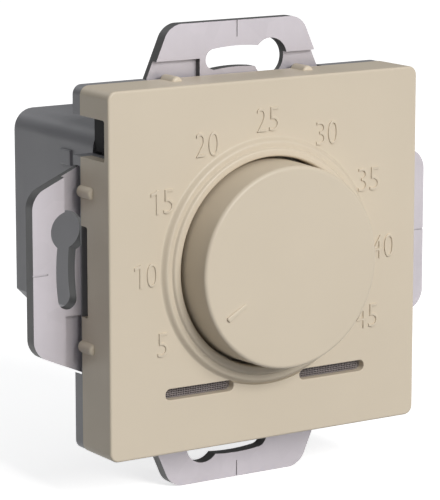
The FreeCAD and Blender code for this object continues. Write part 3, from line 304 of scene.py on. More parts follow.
def block(name, low, high):
    """A box between two corners."""
    low = Vector(low)
    high = Vector(high)
    leave_edit()
    bpy.ops.mesh.primitive_cube_add(size=1, location=(low + high) / 2)
    piece = bpy.context.object
    piece.name = name
    piece.scale = high - low
    return settle(piece)


def rod(name, radius, y0, y1, x=0.0, z=0.0, sides=SMALL_AROUND):
    """A round rod along Y."""
    leave_edit()
    bpy.ops.mesh.primitive_cylinder_add(vertices=sides, radius=radius, depth=y1 - y0,
                                        location=(x, (y0 + y1) / 2, z), rotation=(math.pi / 2, 0, 0))
    piece = bpy.context.object
    piece.name = name
    return settle(piece)


def choose(piece, kind, test):
    """Go to edit mode and select the faces or edges that pass a test."""
    take(piece)
    bpy.ops.object.mode_set(mode="EDIT")
    bpy.ops.mesh.select_mode(type=kind)
    bpy.ops.mesh.select_all(action="DESELECT")
    shape = bmesh.from_edit_mesh(piece.data)
    parts = shape.faces if kind == "FACE" else shape.edges
    found = 0
    for part in parts:
        if test(part):
            part.select_set(True)
            found += 1
    bmesh.update_edit_mesh(piece.data)
    if not found:
        raise RuntimeError("nothing to shape on " + piece.name)
    return found


def middle(part):
    """The middle of a face or edge."""
    return sum((corner.co for corner in part.verts), Vector()) / len(part.verts)


def along(edge, axis):
    """Whether an edge runs along one axis."""
    run = (edge.verts[1].co - edge.verts[0].co).normalized()
    return abs(run[axis]) > 0.999


def corners_of(piece):
    """The lowest and highest corners of a piece's mesh."""
    points = [vertex.co for vertex in piece.data.vertices]
    low = Vector([min(point[axis] for point in points) for axis in range(3)])
    high = Vector([max(point[axis] for point in points) for axis in range(3)])
    return low, high


def near(value, target, room=0.01 * MM):
    """Whether two places agree."""
    return abs(value - target) < room


def level(place, axis=1):
    """A test for the edges that lie at one place along an axis."""
    return lambda edge: all(near(corner.co[axis], place) for corner in edge.verts)


def upright(test=None):
    """A test for the edges that run along Y and pass a further test of their middle."""
    return lambda edge: along(edge, 1) and (test is None or test(middle(edge)))


def round_edges(piece, test, width, segments=6):
    """Round or bevel the edges that pass a test."""
    choose(piece, "EDGE", test)
    bpy.ops.mesh.bevel(offset=width, offset_type="OFFSET", segments=segments, profile=0.5, affect="EDGES")
    leave_edit()


def hollow(piece, test, wall, depth):
    """Inset the faces that pass a test and push the inset in along Y."""
    choose(piece, "FACE", test)
    bpy.ops.mesh.inset(thickness=wall, use_even_offset=True)
    bpy.ops.mesh.extrude_region_move(TRANSFORM_OT_translate={"value": (0, depth, 0)})
    leave_edit()


def apply_modifier(piece, kind, **values):
    """Give a piece a modifier with its values, and apply it."""
    take(piece)
    modifier = piece.modifiers.new(kind, kind)
    for name, value in values.items():
        setattr(modifier, name, value)
    bpy.ops.object.modifier_apply(modifier=modifier.name)


def joined(pieces):
    """Several pieces made one, with nothing cut."""
    take(pieces[0])
    for piece in pieces:
        piece.select_set(True)
    bpy.ops.object.join()
    return bpy.context.object


def combine(piece, tool, operation):
    """Join a tool to a piece or cut it away, and drop the tool."""
    apply_modifier(piece, "BOOLEAN", operation=operation, solver="EXACT", object=tool)
    take(tool)
    bpy.ops.object.delete()
    return piece


def cut(piece, tools):
    """Cut several tools away from a piece."""
    for tool in tools:
        combine(piece, tool, "DIFFERENCE")
    return piece


def weld(piece, additions):
    """Join several shapes into a piece."""
    for addition in additions:
        combine(piece, addition, "UNION")
    return piece


def quarter_turned(piece, quarters):
    """The piece turned about the knob's axis by quarter turns, clockwise from the front."""
    piece.rotation_euler = (0, math.pi / 2 * quarters, 0)
    return settle(piece)


def copy_of(piece, name):
    """A copy with its own mesh."""
    take(piece)
    bpy.ops.object.duplicate(linked=False)
    twin = bpy.context.object
    twin.name = name
    return twin


def arc(centre_r, centre_y, radius, start, end, steps=6):
    """Points (radius, y) of a profile along a round; angles from +radius towards +Y."""
    points = []
    for step in range(steps + 1):
        turn = math.radians(start + (end - start) * step / steps)
        points.append((centre_r + radius * math.cos(turn), centre_y + radius * math.sin(turn)))
    return points


def turned_piece(name, profile, closed, sides=AROUND):
    """A turned piece: a circle drawn on through each (radius, y) of the profile."""
    radius, y = profile[0]
    leave_edit()
    filling = "NOTHING" if closed else "NGON"
    bpy.ops.mesh.primitive_circle_add(vertices=sides, radius=radius, fill_type=filling, location=(0, y, 0),
                                      rotation=(math.pi / 2, 0, 0))
    piece = settle(bpy.context.object)
    piece.name = name
    bpy.ops.object.mode_set(mode="EDIT")
    bpy.ops.mesh.select_mode(type="VERT")
    bpy.ops.mesh.select_all(action="SELECT")
    for next_radius, next_y in profile[1:]:
        bpy.ops.mesh.extrude_region_move(TRANSFORM_OT_translate={"value": (0, next_y - y, 0)})
        ratio = next_radius / radius
        bpy.ops.transform.resize(value=(ratio, 1, ratio), center_override=(0, next_y, 0))
        radius, y = next_radius, next_y
    bpy.ops.mesh.select_all(action="SELECT")
    bpy.ops.mesh.remove_doubles(threshold=0.001 * MM)
    bpy.ops.mesh.normals_make_consistent(inside=False)
    leave_edit()
    return piece


def soften(piece, width, segments=2, angle=40):
    """Round every sharp edge a little."""
    apply_modifier(piece, "BEVEL", width=width, segments=segments, limit_method="ANGLE",
                   angle_limit=math.radians(angle), use_clamp_overlap=True)
    return piece


def tidy(piece, angle=32):
    """Merge stray points, and shade smooth except at sharp edges."""
    take(piece)
    bpy.ops.object.mode_set(mode="EDIT")
    bpy.ops.mesh.select_all(action="SELECT")
    bpy.ops.mesh.remove_doubles(threshold=0.0005 * MM)
    bpy.ops.mesh.delete_loose()
    leave_edit()
    take(piece)
    bpy.ops.object.shade_smooth_by_angle(angle=math.radians(angle), keep_sharp_edges=False)
    apply_modifier(piece, "WEIGHTED_NORMAL", keep_sharp=True, weight=50)
    return piece


def finish_piece(piece, body, slot, *nodes):
    """Tidy a piece, give it the material of its slot, hang it on its body, and hide the frame nodes that it
    stands for.
    """
    tidy(piece)
    piece.data.materials.clear()
    piece.data.materials.append(MATERIALS[slot])
    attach(piece, body)
    if nodes:
        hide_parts(*nodes)
    return piece


# ---------------------------------------------------------------- shared effects

def new_group(name, outputs, **values):
    """A node group with a Vector and some values going in, and some values coming out."""
    group = bpy.data.node_groups.new(name, "ShaderNodeTree")
    group.interface.new_socket("Vector", in_out="INPUT", socket_type="NodeSocketVector")
    for title, default in values.items():
        socket = group.interface.new_socket(title, in_out="INPUT", socket_type="NodeSocketFloat")
        socket.default_value = default
    for title in outputs:
        group.interface.new_socket(title, in_out="OUTPUT", socket_type="NodeSocketFloat")
    return group, group.nodes.new("NodeGroupInput"), group.nodes.new("NodeGroupOutput")


def feed(tree, node, **values):
    """Fill a node's inputs: a socket is linked, and anything else is a fixed value."""
    for name, value in values.items():
        socket = node.inputs[name.replace("_", " ")]
        if isinstance(value, bpy.types.NodeSocket):
            tree.links.new(value, socket)
        else:
            socket.default_value = value
    return node


def noise(tree, vector, scale, detail=3.0, roughness=0.55):
    """A noise texture on the given coordinates."""
    node = tree.nodes.new("ShaderNodeTexNoise")
    return feed(tree, node, Detail=detail, Roughness=roughness, Scale=scale, Vector=vector).outputs["Fac"]


def remap(tree, value, low, high, out_low, out_high):
    """A value mapped from one range to another."""
    node = tree.nodes.new("ShaderNodeMapRange")
    feed(tree, node, From_Min=low, From_Max=high, To_Min=out_low, To_Max=out_high, Value=value)
    return node.outputs["Result"]


def swing(tree, value, size=1.0):
    """The usual spread of a noise, mapped to both sides of nought."""
    return remap(tree, value, 0.3, 0.7, -size, size)


def maths(tree, operation, first, second):
    """A maths node on two values."""
    node = tree.nodes.new("ShaderNodeMath")
    node.operation = operation
    for index, value in enumerate((first, second)):
        if isinstance(value, float):
            node.inputs[index].default_value = value
        else:
            tree.links.new(value, node.inputs[index])
    return node.outputs[0]


def moulded_grain():
    """Spark-eroded grain: a fine height, a slow shift of tone and a slow shift of gloss."""
    group, start, end = new_group("moulded grain", ("Height", "Tone", "Gloss"), Grain=4200.0, Cloud=45.0)
    place = start.outputs["Vector"]
    fine = noise(group, place, start.outputs["Grain"], 2.0)
    coarse = noise(group, place, maths(group, "MULTIPLY", start.outputs["Grain"], 0.31), 2.0)
    height = maths(group, "ADD", maths(group, "MULTIPLY", fine, 0.6), maths(group, "MULTIPLY", coarse, 0.4))
    cloud = noise(group, place, start.outputs["Cloud"], 3.0)
    smear = noise(group, place, maths(group, "MULTIPLY", start.outputs["Cloud"], 3.7), 4.0)
    group.links.new(height, end.inputs["Height"])
    group.links.new(swing(group, cloud), end.inputs["Tone"])
    group.links.new(swing(group, smear), end.inputs["Gloss"])
    return group


def edge_wear():
    """A mask of the rounded outer edges, broken up by noise. Flat faces that lie square are left out."""
    group, start, end = new_group("edge wear", ("Mask",), Low=0.53, High=0.62, Breakup=600.0)
    shape = group.nodes.new("ShaderNodeNewGeometry")
    edges = remap(group, shape.outputs["Pointiness"], start.outputs["Low"], start.outputs["High"], 0.0, 1.0)
    patches = remap(group, noise(group, start.outputs["Vector"], start.outputs["Breakup"], 4.0), 0.35, 0.65,
                    0.25, 1.0)
    facing = group.nodes.new("ShaderNodeTexCoord").outputs["Normal"]
    parts = group.nodes.new("ShaderNodeSeparateXYZ")
    group.links.new(facing, parts.inputs["Vector"])
    sizes = [maths(group, "ABSOLUTE", parts.outputs[axis], 0.0) for axis in "XYZ"]
    square = maths(group, "MAXIMUM", maths(group, "MAXIMUM", sizes[0], sizes[1]), sizes[2])
    turned = remap(group, square, 0.999, 0.97, 0.0, 1.0)
    worn = maths(group, "MULTIPLY", maths(group, "MULTIPLY", edges, patches), turned)
    group.links.new(worn, end.inputs["Mask"])
    return group


def rolled_metal():
    """Rolling lines drawn out along one direction, with soft zinc spangle."""
    group, start, end = new_group("rolled metal", ("Height", "Tone", "Gloss"), Lines=900.0, Spangle=260.0)
    stretch = group.nodes.new("ShaderNodeMapping")
    stretch.inputs["Scale"].default_value = (1.0, 1.0, 0.04)
    group.links.new(start.outputs["Vector"], stretch.inputs["Vector"])
    lines = noise(group, stretch.outputs["Vector"], start.outputs["Lines"], 4.0, 0.65)
    cells = group.nodes.new("ShaderNodeTexVoronoi")
    group.links.new(start.outputs["Vector"], cells.inputs["Vector"])
    group.links.new(start.outputs["Spangle"], cells.inputs["Scale"])
    split = group.nodes.new("ShaderNodeSeparateColor")
    group.links.new(cells.outputs["Color"], split.inputs["Color"])
    cloud = noise(group, start.outputs["Vector"], 60.0, 3.0)
    patches = remap(group, split.outputs[0], 0.0, 1.0, -0.35, 0.35)
    tone = maths(group, "ADD", patches, swing(group, cloud, 0.65))
    group.links.new(lines, end.inputs["Height"])
    group.links.new(tone, end.inputs["Tone"])
    group.links.new(swing(group, lines), end.inputs["Gloss"])
    return group


def place_group(tree, group, vector, **values):
    """Put a group into a material with its own values."""
    node = tree.nodes.new("ShaderNodeGroup")
    node.node_tree = group
    return feed(tree, node, Vector=vector, **values)


def colour_mix(tree):
    """A mix of two colours."""
    node = tree.nodes.new("ShaderNodeMix")
    node.data_type = "RGBA"
    return node


def scaled(base, ratio, lift=0.0):
    """A colour made lighter or darker."""
    return [min(1.0, channel * ratio + lift) for channel in base]


def tinted(tree, base, tone, amount, mask=None, worn=None, worn_amount=0.0):
    """The base colour made lighter and darker by a tone, and mixed with a worn colour by a mask."""
    shade = colour_mix(tree)
    shade.inputs["A"].default_value = (*scaled(base, 1 - amount), 1)
    shade.inputs["B"].default_value = (*scaled(base, 1 + amount), 1)
    tree.links.new(remap(tree, tone, -1.0, 1.0, 0.0, 1.0), shade.inputs["Factor"])
    if mask is None:
        return shade.outputs["Result"]
    wear = colour_mix(tree)
    tree.links.new(maths(tree, "MULTIPLY", mask, worn_amount), wear.inputs["Factor"])
    tree.links.new(shade.outputs["Result"], wear.inputs["A"])
    wear.inputs["B"].default_value = (*worn, 1)
    return wear.outputs["Result"]


def new_material(name, base):
    """A material with a Principled shader and Object coordinates."""
    material = bpy.data.materials.new(name)
    material.use_nodes = True
    material.diffuse_color = (*base, 1)
    tree = material.node_tree
    tree.nodes.clear()
    shader = tree.nodes.new("ShaderNodeBsdfPrincipled")
    output = tree.nodes.new("ShaderNodeOutputMaterial")
    tree.links.new(shader.outputs["BSDF"], output.inputs["Surface"])
    place = tree.nodes.new("ShaderNodeTexCoord").outputs["Object"]
    return material, tree, shader, place


def add_bump(tree, shader, height, strength, distance):
    """Feed a height into the shader's normal."""
    bump = feed(tree, tree.nodes.new("ShaderNodeBump"), Strength=strength, Distance=distance, Height=height)
    tree.links.new(bump.outputs["Normal"], shader.inputs["Normal"])


def plastic(name, base, roughness, grain, depth, vary, wear, coat, gloss):
    """A moulded plastic with fine grain, slow colour drift and slightly polished edges."""
    material, tree, shader, place = new_material(name, base)
    moulded = place_group(tree, GROUPS["grain"], place, Grain=grain)
    edges = place_group(tree, GROUPS["wear"], place)
    lighter = scaled(base, 1.25, 0.02)
    tree.links.new(tinted(tree, base, moulded.outputs["Tone"], vary, edges.outputs["Mask"], lighter, wear),
                   shader.inputs["Base Color"])
    worn = maths(tree, "MULTIPLY", edges.outputs["Mask"], -0.08)
    rough = remap(tree, moulded.outputs["Gloss"], -1.0, 1.0, roughness - 0.035, roughness + 0.035)
    tree.links.new(maths(tree, "ADD", rough, worn), shader.inputs["Roughness"])
    feed(tree, shader, Coat_Weight=coat, Specular_IOR_Level=gloss, Coat_Roughness=0.2)
    add_bump(tree, shader, moulded.outputs["Height"], 0.35, depth * MM)
    return material


def metal(name, base, metallic, roughness, lines, depth, vary):
    """A plated metal with rolling lines, soft spangle and slightly brighter edges."""
    material, tree, shader, place = new_material(name, base)
    rolled = place_group(tree, GROUPS["rolled"], place, Lines=lines)
    edges = place_group(tree, GROUPS["wear"], place)
    bright = scaled(base, 1.15, 0.03)
    tree.links.new(tinted(tree, base, rolled.outputs["Tone"], vary, edges.outputs["Mask"], bright, 0.4),
                   shader.inputs["Base Color"])
    tree.links.new(remap(tree, rolled.outputs["Gloss"], -1.0, 1.0, roughness - 0.05, roughness + 0.05),
                   shader.inputs["Roughness"])
    shader.inputs["Metallic"].default_value = metallic
    add_bump(tree, shader, rolled.outputs["Height"], 0.3, depth * MM)
    return material


def board(name, base):
    """Solder mask over glass cloth, with the weave and tracks showing faintly."""
    material, tree, shader, place = new_material(name, base)
    moulded = place_group(tree, GROUPS["grain"], place, Grain=1500.0)
    tracks = tree.nodes.new("ShaderNodeTexBrick")
    turn = feed(tree, tree.nodes.new("ShaderNodeMapping"), Rotation=(math.pi / 2, 0, 0), Vector=place)
    feed(tree, tracks, Scale=420.0, Mortar_Size=0.06, Color1=(*base, 1), Color2=(*scaled(base, 1.25), 1),
         Mortar=(*scaled(base, 0.6), 1), Vector=turn.outputs["Vector"])
    mix = colour_mix(tree)
    mix.blend_type = "MULTIPLY"
    mix.inputs["Factor"].default_value = 0.6
    tree.links.new(tracks.outputs["Color"], mix.inputs["A"])
    tree.links.new(tinted(tree, (0.8, 0.8, 0.8), moulded.outputs["Tone"], 0.2), mix.inputs["B"])
    tree.links.new(mix.outputs["Result"], shader.inputs["Base Color"])
    tree.links.new(remap(tree, moulded.outputs["Gloss"], -1.0, 1.0, 0.25, 0.38), shader.inputs["Roughness"])
    add_bump(tree, shader, tracks.outputs["Fac"], 0.2, 0.03 * MM)
    return material


GROUPS = {}
MATERIALS = {}


# slot: name, colour or its setting, roughness, grain, grain depth in mm, drift, wear, coat, gloss
PLASTICS = {
    "beige_plastic": ("satin beige plastic", "cover", 0.46, 5200.0, 0.008, 0.018, 0.22, 0.0, 0.5),
    "grey_plastic": ("grey housing plastic", "grey", 0.42, 3200.0, 0.014, 0.06, 0.3, 0.0, 0.5),
    # Near-black chassis: real black plastic that also paints the shade inside the side window; the low gloss
    # keeps a grey sheen off that painted shade.
    "black_plastic": ("black chassis plastic", "black", 0.65, 3600.0, 0.014, 0.2, 0.1, 0.0, 0.15),
    "black_epoxy": ("moulded black epoxy", (0.022, 0.022, 0.024), 0.48, 3000.0, 0.02, 0.2, 0.1, 0.0, 0.5),
    "sensor_epoxy": ("dipped dark epoxy", (0.02, 0.03, 0.05), 0.5, 900.0, 0.01, 0.15, 0.1, 0.0, 0.5),
    "relay_plastic": ("dark blue relay case", (0.025, 0.07, 0.18), 0.25, 2600.0, 0.01, 0.08, 0.2, 0.0, 0.5),
    "capacitor_plastic": ("yellow capacitor", (0.60, 0.34, 0.04), 0.36, 2600.0, 0.01, 0.05, 0.25, 0.0, 0.5),
    "can_sleeve": ("shrunk dark sleeve", (0.025, 0.035, 0.08), 0.22, 700.0, 0.02, 0.1, 0.2, 0.4, 0.5),
    "varistor_coating": ("blue dipped coating", (0.04, 0.13, 0.42), 0.22, 800.0, 0.03, 0.1, 0.1, 0.4, 0.5),
    "fuse_ceramic": ("pale fuse ceramic", (0.58, 0.53, 0.42), 0.3, 1800.0, 0.01, 0.05, 0.1, 0.0, 0.5),
    "terminal_plastic": ("filled plastic", (0.045, 0.045, 0.048), 0.55, 2000.0, 0.03, 0.2, 0.1, 0.0, 0.5),
    "shaft_plastic": ("off-white shaft plastic", (0.68, 0.66, 0.60), 0.4, 3000.0, 0.01, 0.03, 0.1, 0.0, 0.5),
}
# slot: name, colour or its setting, metallic, roughness, rolling lines, depth in mm, drift
METALS = {
    "zinc_steel": ("zinc-plated sheet steel", "steel", 0.55, 0.46, 900.0, 0.006, 0.06),
    "cut_edge": ("sheared steel edge", "cut_edge", 0.5, 0.55, 2500.0, 0.02, 0.15),
    "zinc_screw": ("zinc-plated screw", (0.62, 0.61, 0.58), 0.95, 0.30, 2400.0, 0.006, 0.06),
    "dark_mesh": ("blackened mesh wire", (0.36, 0.325, 0.33), 0.35, 0.42, 3000.0, 0.003, 0.2),
    "tinned_steel": ("tinned steel can", (0.66, 0.66, 0.63), 0.95, 0.33, 700.0, 0.006, 0.06),
    "spring_steel": ("spring steel", (0.42, 0.42, 0.44), 0.95, 0.30, 1500.0, 0.006, 0.06),
    "tinned_brass": ("tin-plated brass", (0.68, 0.64, 0.52), 0.95, 0.32, 1500.0, 0.006, 0.06),
}
BOARDS = {
    "track_board": ("phenolic track board", (0.26, 0.13, 0.06)),
    "green_board": ("green circuit board", (0.025, 0.17, 0.07)),
}


def make_materials(colours):
    """Build the shared effects and every material."""
    GROUPS.update(grain=moulded_grain(), wear=edge_wear(), rolled=rolled_metal())
    for make, rows in ((plastic, PLASTICS), (metal, METALS), (board, BOARDS)):
        for slot, (name, base, *values) in rows.items():
            shown = tuple(getattr(colours, base)) if isinstance(base, str) else base
            MATERIALS[slot] = make(name, shown, *values)


# ---------------------------------------------------------------- the pieces

def vent_tools(sizes, y0, y1):
    """Two round-ended cutters for the vents."""
    half = sizes.height / 2
    tools = []
    for x0, x1 in ((sizes.near, sizes.far), (-sizes.far, -sizes.near)):
        tool = block("vent tool", (x0, y0, sizes.centre - half), (x1, y1, sizes.centre + half))
        round_edges(tool, upright(), half * VENT_END, 10)
        tools.append(tool)
    return tools


def cover_lugs(sizes, y0, y1, half):
    """The small half-round lugs on the four sides."""
    lugs = []
    inset = half + sizes.lug_proud - sizes.lug_radius
    places = []
    for side in (-1, 1):
        places += [(side * inset, height) for height in SIDE_LUGS]
        places += [(place, side * inset) for place in END_LUGS]
    for x, z in places:
        lug = rod("lug", sizes.lug_radius, y0, y1, x, z, 24)
        round_edges(lug, level(y0), sizes.lug_radius * LUG_ROUNDING, 3)
        lugs.append(lug)
    return lugs


def collar_profile(sizes, face):
    """The closed section of the collar and cup: bead, groove, rim, cup wall and floor."""
    top = face - sizes.bead_height
    outer = sizes.radius + sizes.bead
    rim_outer = outer + sizes.rim
    lip = 0.34 * MM
    shoulder = 0.40 * MM
    groove = top + sizes.groove
    hump = sizes.rim * 0.48
    rise = sizes.rim_height - (sizes.bead_height - sizes.groove)
    points = [(sizes.radius, face + sizes.cup)]
    points += arc(sizes.radius + lip, top + lip, lip, 180, 270, 5)
    points += arc(outer - shoulder, top + shoulder, shoulder, 270, 335, 5)
    points.append((outer + 0.04 * MM, groove - 0.06 * MM))
    points.append((outer + 0.12 * MM, groove))
    steps = 12
    foot = 0.12 * MM
    for step in range(1, steps + 1):
        share = step / steps
        radius = outer + foot + (sizes.rim - foot) * share
        if radius < outer + hump:
            lift = rise * math.sin(math.pi / 2 * (radius - outer - foot) / (hump - foot))
            points.append((radius, groove - lift))
        else:
            fall = (radius - outer - hump) / (sizes.rim - hump)
            points.append((radius, face - sizes.rim_height * (1 + math.cos(math.pi * fall)) / 2))
    inside = face + 1.0 * MM
    cup_back = face + sizes.cup + sizes.cup_wall
    wall = sizes.radius + sizes.cup_wall
    points += [(rim_outer + 0.02 * MM, face + 0.05 * MM), (rim_outer, inside), (wall, inside)]
    points += [(wall, cup_back), (sizes.hole, cup_back), (sizes.hole, face + sizes.cup),
               (sizes.radius, face + sizes.cup)]
    return points


class THERMOSTAT_OT_cover(bpy.types.Operator):
    """Model the front cover with its collar, cup, vents, lugs and side openings"""
    bl_idname = "thermostat.cover"
    bl_label = "Front cover"

    def execute(self, context):
        settings = context.scene.thermostat
        sizes = settings.cover
        half = COVER_HIGH.x - sizes.lug_proud
        face = -sizes.front
        back = COVER_HIGH.y
        shell = block("front_cover_moulding", (-half, face, -half), (half, back, half))
        hollow(shell, lambda item: near(middle(item).y, back), sizes.wall, face + sizes.face - back)
        round_edges(shell, upright(lambda place: near(abs(place.x), half)), sizes.corner, 8)
        round_edges(shell, upright(lambda place: near(abs(place.x), half - sizes.wall)), sizes.corner / 2, 4)
        round_edges(shell, level(face), sizes.edge, 5)
        weld(shell, cover_lugs(sizes, back - sizes.lug_length, back, half))
        collar = settings.collar
        cut(shell, [rod("opening", collar.radius + COLLAR_ROOM, face - CLEAR, 0, 0, 0, AROUND)])
        weld(shell, [turned_piece("collar", collar_profile(collar, face), True)])
        screens = settings.screens
        cut(shell, vent_tools(screens, face - CLEAR, back))
        wide = screens.far + VENT_MARGIN
        high = screens.height / 2 + VENT_MARGIN
        at_face = level(face)
        round_edges(shell, lambda edge: at_face(edge) and edge.calc_face_angle(0) > 1.0
                    and all(abs(corner.co.z - screens.centre) < high and abs(corner.co.x) < wide
                            for corner in edge.verts), VENT_EDGE, 3)
        window = block("window", (-FAR, -sizes.window_front, sizes.window_low),
                       (sizes.wall + SIDE_PAST - half, CLEAR, sizes.window_high))
        round_edges(window, lambda edge: along(edge, 0) and near(edge.verts[0].co.y, -sizes.window_front),
                    OPENING_ROUND, 3)
        notch = block("notch", (-FAR, -sizes.notch_front, -sizes.notch),
                      (sizes.wall + SIDE_PAST - half, CLEAR, sizes.notch))
        round_edges(notch, lambda edge: along(edge, 0) and near(edge.verts[0].co.y, -sizes.notch_front),
                    NOTCH_ROUND, 3)
        cut(shell, [window, notch])
        screw = COVER_SCREW_REACH - SCREW_HEAD_R
        cut(shell, [rod("screw hole", SCREW_HOLE_R, face, 0, 0, side * screw) for side in (-1, 1)])
        finish_piece(shell, "base", "beige_plastic", "front_cover")
        return {"FINISHED"}


class THERMOSTAT_OT_numerals(bpy.types.Operator):
    """Model the raised numbers of the dial"""
    bl_idname = "thermostat.numerals"
    bl_label = "Dial numbers"

    def execute(self, context):
        settings = context.scene.thermostat
        sizes = settings.numerals
        face = -settings.cover.front
        count = (sizes.last - sizes.first) // sizes.step
        masters = {}
        for index in range(count + 1):
            value = sizes.first + index * sizes.step
            angle = DIAL_SWEEP * (index / count - 0.5)
            text = str(value)
            start = -(len(text) - 1) / 2 * (sizes.width + sizes.gap)
            parts = []
            for place, character in enumerate(text):
                if character not in masters:
                    masters[character] = self.digit(sizes, character)
                digit = copy_of(masters[character], "digit")
                digit.location = (start + place * (sizes.width + sizes.gap), 0, 0)
                parts.append(settle(digit))
            piece = joined(parts)
            piece.name = "number_%02d" % value
            piece.location = (math.sin(angle) * sizes.circle, face, math.cos(angle) * sizes.circle)
            settle(piece)
            finish_piece(piece, "base", "beige_plastic")
        for master in masters.values():
            take(master)
            bpy.ops.object.delete()
        return {"FINISHED"}

    def digit(self, sizes, character):
        """One raised digit, with its middle on the axis and its foot just under the face."""
        if character == "1":
            piece = self.one(sizes, DIGIT_FOOT)
        else:
            piece = self.lettered(sizes, character, DIGIT_FOOT)
        choose(piece, "EDGE", lambda edge: near(edge.verts[0].co.y, -sizes.proud)
               and near(edge.verts[1].co.y, -sizes.proud) and edge.calc_face_angle(0) > 0.8)
        bpy.ops.mesh.bevel(offset=DIGIT_ROUND, segments=2, affect="EDGES", clamp_overlap=True)
        leave_edit()
        return piece

    def lettered(self, sizes, character, sunk):
        """A digit drawn from the plain built-in letters and brought to size."""
        leave_edit()
        bpy.ops.object.text_add(rotation=(math.pi / 2, 0, 0))
        text = bpy.context.object
        text.data.body = character
        text.data.offset = -0.012
        text.data.extrude = 0.1
        text.data.resolution_u = 6
        take(text)
        bpy.ops.object.convert(target="MESH")
        piece = settle(bpy.context.object)
        choose(piece, "FACE", lambda face: True)
        bpy.ops.mesh.remove_doubles(threshold=0.1 * MM)
        bpy.ops.mesh.normals_make_consistent(inside=False)
        leave_edit()
        low, high = corners_of(piece)
        size = (sizes.width, sizes.proud + sunk, sizes.height)
        piece.scale = [wanted / (top - bottom) for wanted, top, bottom in zip(size, high, low)]
        settle(piece)
        low, high = corners_of(piece)
        piece.location = -(low + high) / 2 + Vector((0, (sunk - sizes.proud) / 2, 0))
        return settle(piece)

    def one(self, sizes, sunk):
        """The digit one: a stem with a short flag at its top."""
        stem = sizes.width * 0.24
        right = sizes.width * 0.28
        half = sizes.height / 2
        drop = sizes.height * 0.12
        run = sizes.width * 0.52
        piece = block("digit", (right - stem, -sizes.proud, -half), (right, sunk, half))
        flag = block("flag", (right - stem, -sizes.proud, half - stem * 1.15),
                     (right - stem / 2, sunk, half))
        choose(flag, "FACE", lambda face: near(middle(face).x, right - stem))
        bpy.ops.transform.translate(value=(-run, 0, -drop))
        leave_edit()
        return weld(piece, [flag])


class THERMOSTAT_OT_knob(bpy.types.Operator):
    """Model the knob and its pointer"""
    bl_idname = "thermostat.knob"
    bl_label = "Knob"

    def execute(self, context):
        sizes = context.scene.thermostat.knob
        front = -sizes.front
        foot = KNOB_HIGH.y
        face_r = sizes.base - sizes.draft
        under = front + sizes.face
        tiny = 0.4 * MM
        profile = [(tiny, front), (face_r * 0.5, front), (face_r - sizes.edge * 1.6, front)]
        profile += arc(face_r - sizes.edge, front + sizes.edge, sizes.edge, 270, 360, 7)
        profile += [(face_r, front + sizes.edge * 1.6)]
        profile += [(sizes.base - 0.02 * MM, foot - 0.3 * MM), (sizes.base - 0.25 * MM, foot)]
        profile += [(sizes.base - sizes.wall + 0.15 * MM, foot), (sizes.base - sizes.wall, foot - 0.15 * MM)]
        profile += [(face_r - sizes.wall, under + 0.4 * MM), (face_r - sizes.wall - 0.4 * MM, under)]
        profile += [(sizes.boss + 0.4 * MM, under), (sizes.boss, under + 0.4 * MM), (sizes.boss, foot)]
        profile += [(sizes.bore + 0.2 * MM, foot), (sizes.bore, foot - 0.2 * MM)]
        profile += [(sizes.bore, front + sizes.bore_depth), (tiny, front + sizes.bore_depth)]
        knob = turned_piece("knob_moulding", profile, False)
        reach = face_r - sizes.wall / 2
        for x, z in ((reach, RIB_HALF), (RIB_HALF, reach)):
            rib = block("rib", (-x, under - 0.2 * MM, -z), (x, under + RIB_DEPTH, z))
            cut(rib, [rod("boss room", sizes.boss - 0.2 * MM, under - CLEAR, foot, 0, 0, 64)])
            weld(knob, [rib])
        finish_piece(knob, "knob", "beige_plastic", "dial_knob")
        self.pointer(sizes, front)
        return {"FINISHED"}

    def pointer(self, sizes, front):
        """A thin ridge, highest and rounded at its outer end, running out into the face."""
        half = sizes.pointer_width / 2
        tip = KNOB_LOW.y
        ridge = block("knob_pointer", (-half, tip, sizes.pointer_near),
                      (half, front + POINTER_FOOT, sizes.pointer_far))
        choose(ridge, "EDGE", lambda edge: along(edge, 0) and near(middle(edge).z, sizes.pointer_near)
               and near(middle(edge).y, tip))
        bpy.ops.transform.translate(value=(0, front - tip - POINTER_LOW, 0))
        leave_edit()
        choose(ridge, "FACE", lambda face: near(middle(face).z, sizes.pointer_near))
        bpy.ops.transform.resize(value=(POINTER_TAPER, 1, 1), center_override=(0, 0, 0))
        leave_edit()
        round_edges(ridge, upright(), half * POINTER_ROUNDING, 8)
        round_edges(ridge, lambda edge: all(corner.co.y < front - 0.05 * MM for corner in edge.verts)
                    and edge.calc_face_angle(0) > 0.9, POINTER_EDGE, 5)
        ridge.rotation_euler = (0, -DIAL_SWEEP / 2, 0)
        settle(ridge)
        finish_piece(ridge, "knob", "beige_plastic")


def ear(sizes, thick, grow=0.0):
    """The ear that points up: a tapered slab with rounded corners."""
    reach = PLATE_HIGH.z + grow
    wide = sizes.tip + (PLATE_HIGH.z - EAR_FOOT) * sizes.slope + grow
    tab = block("ear", (-wide, -thick, EAR_FOOT), (wide, 0, reach))
    choose(tab, "FACE", lambda face: near(middle(face).z, reach))
    bpy.ops.transform.resize(value=((sizes.tip + grow) / wide, 1, 1), center_override=(0, 0, reach))
    leave_edit()
    choose(tab, "FACE", lambda face: near(middle(face).z, EAR_FOOT))
    bpy.ops.mesh.extrude_region_move(TRANSFORM_OT_translate={"value": (0, 0, sizes.neck_reach - EAR_FOOT)})
    bpy.ops.transform.resize(value=((sizes.neck + grow) / wide, 1, 1), center_override=(0, 0, 0))
    leave_edit()
    round_edges(tab, upright(lambda place: near(place.z, reach)), sizes.corner, 8)
    return tab


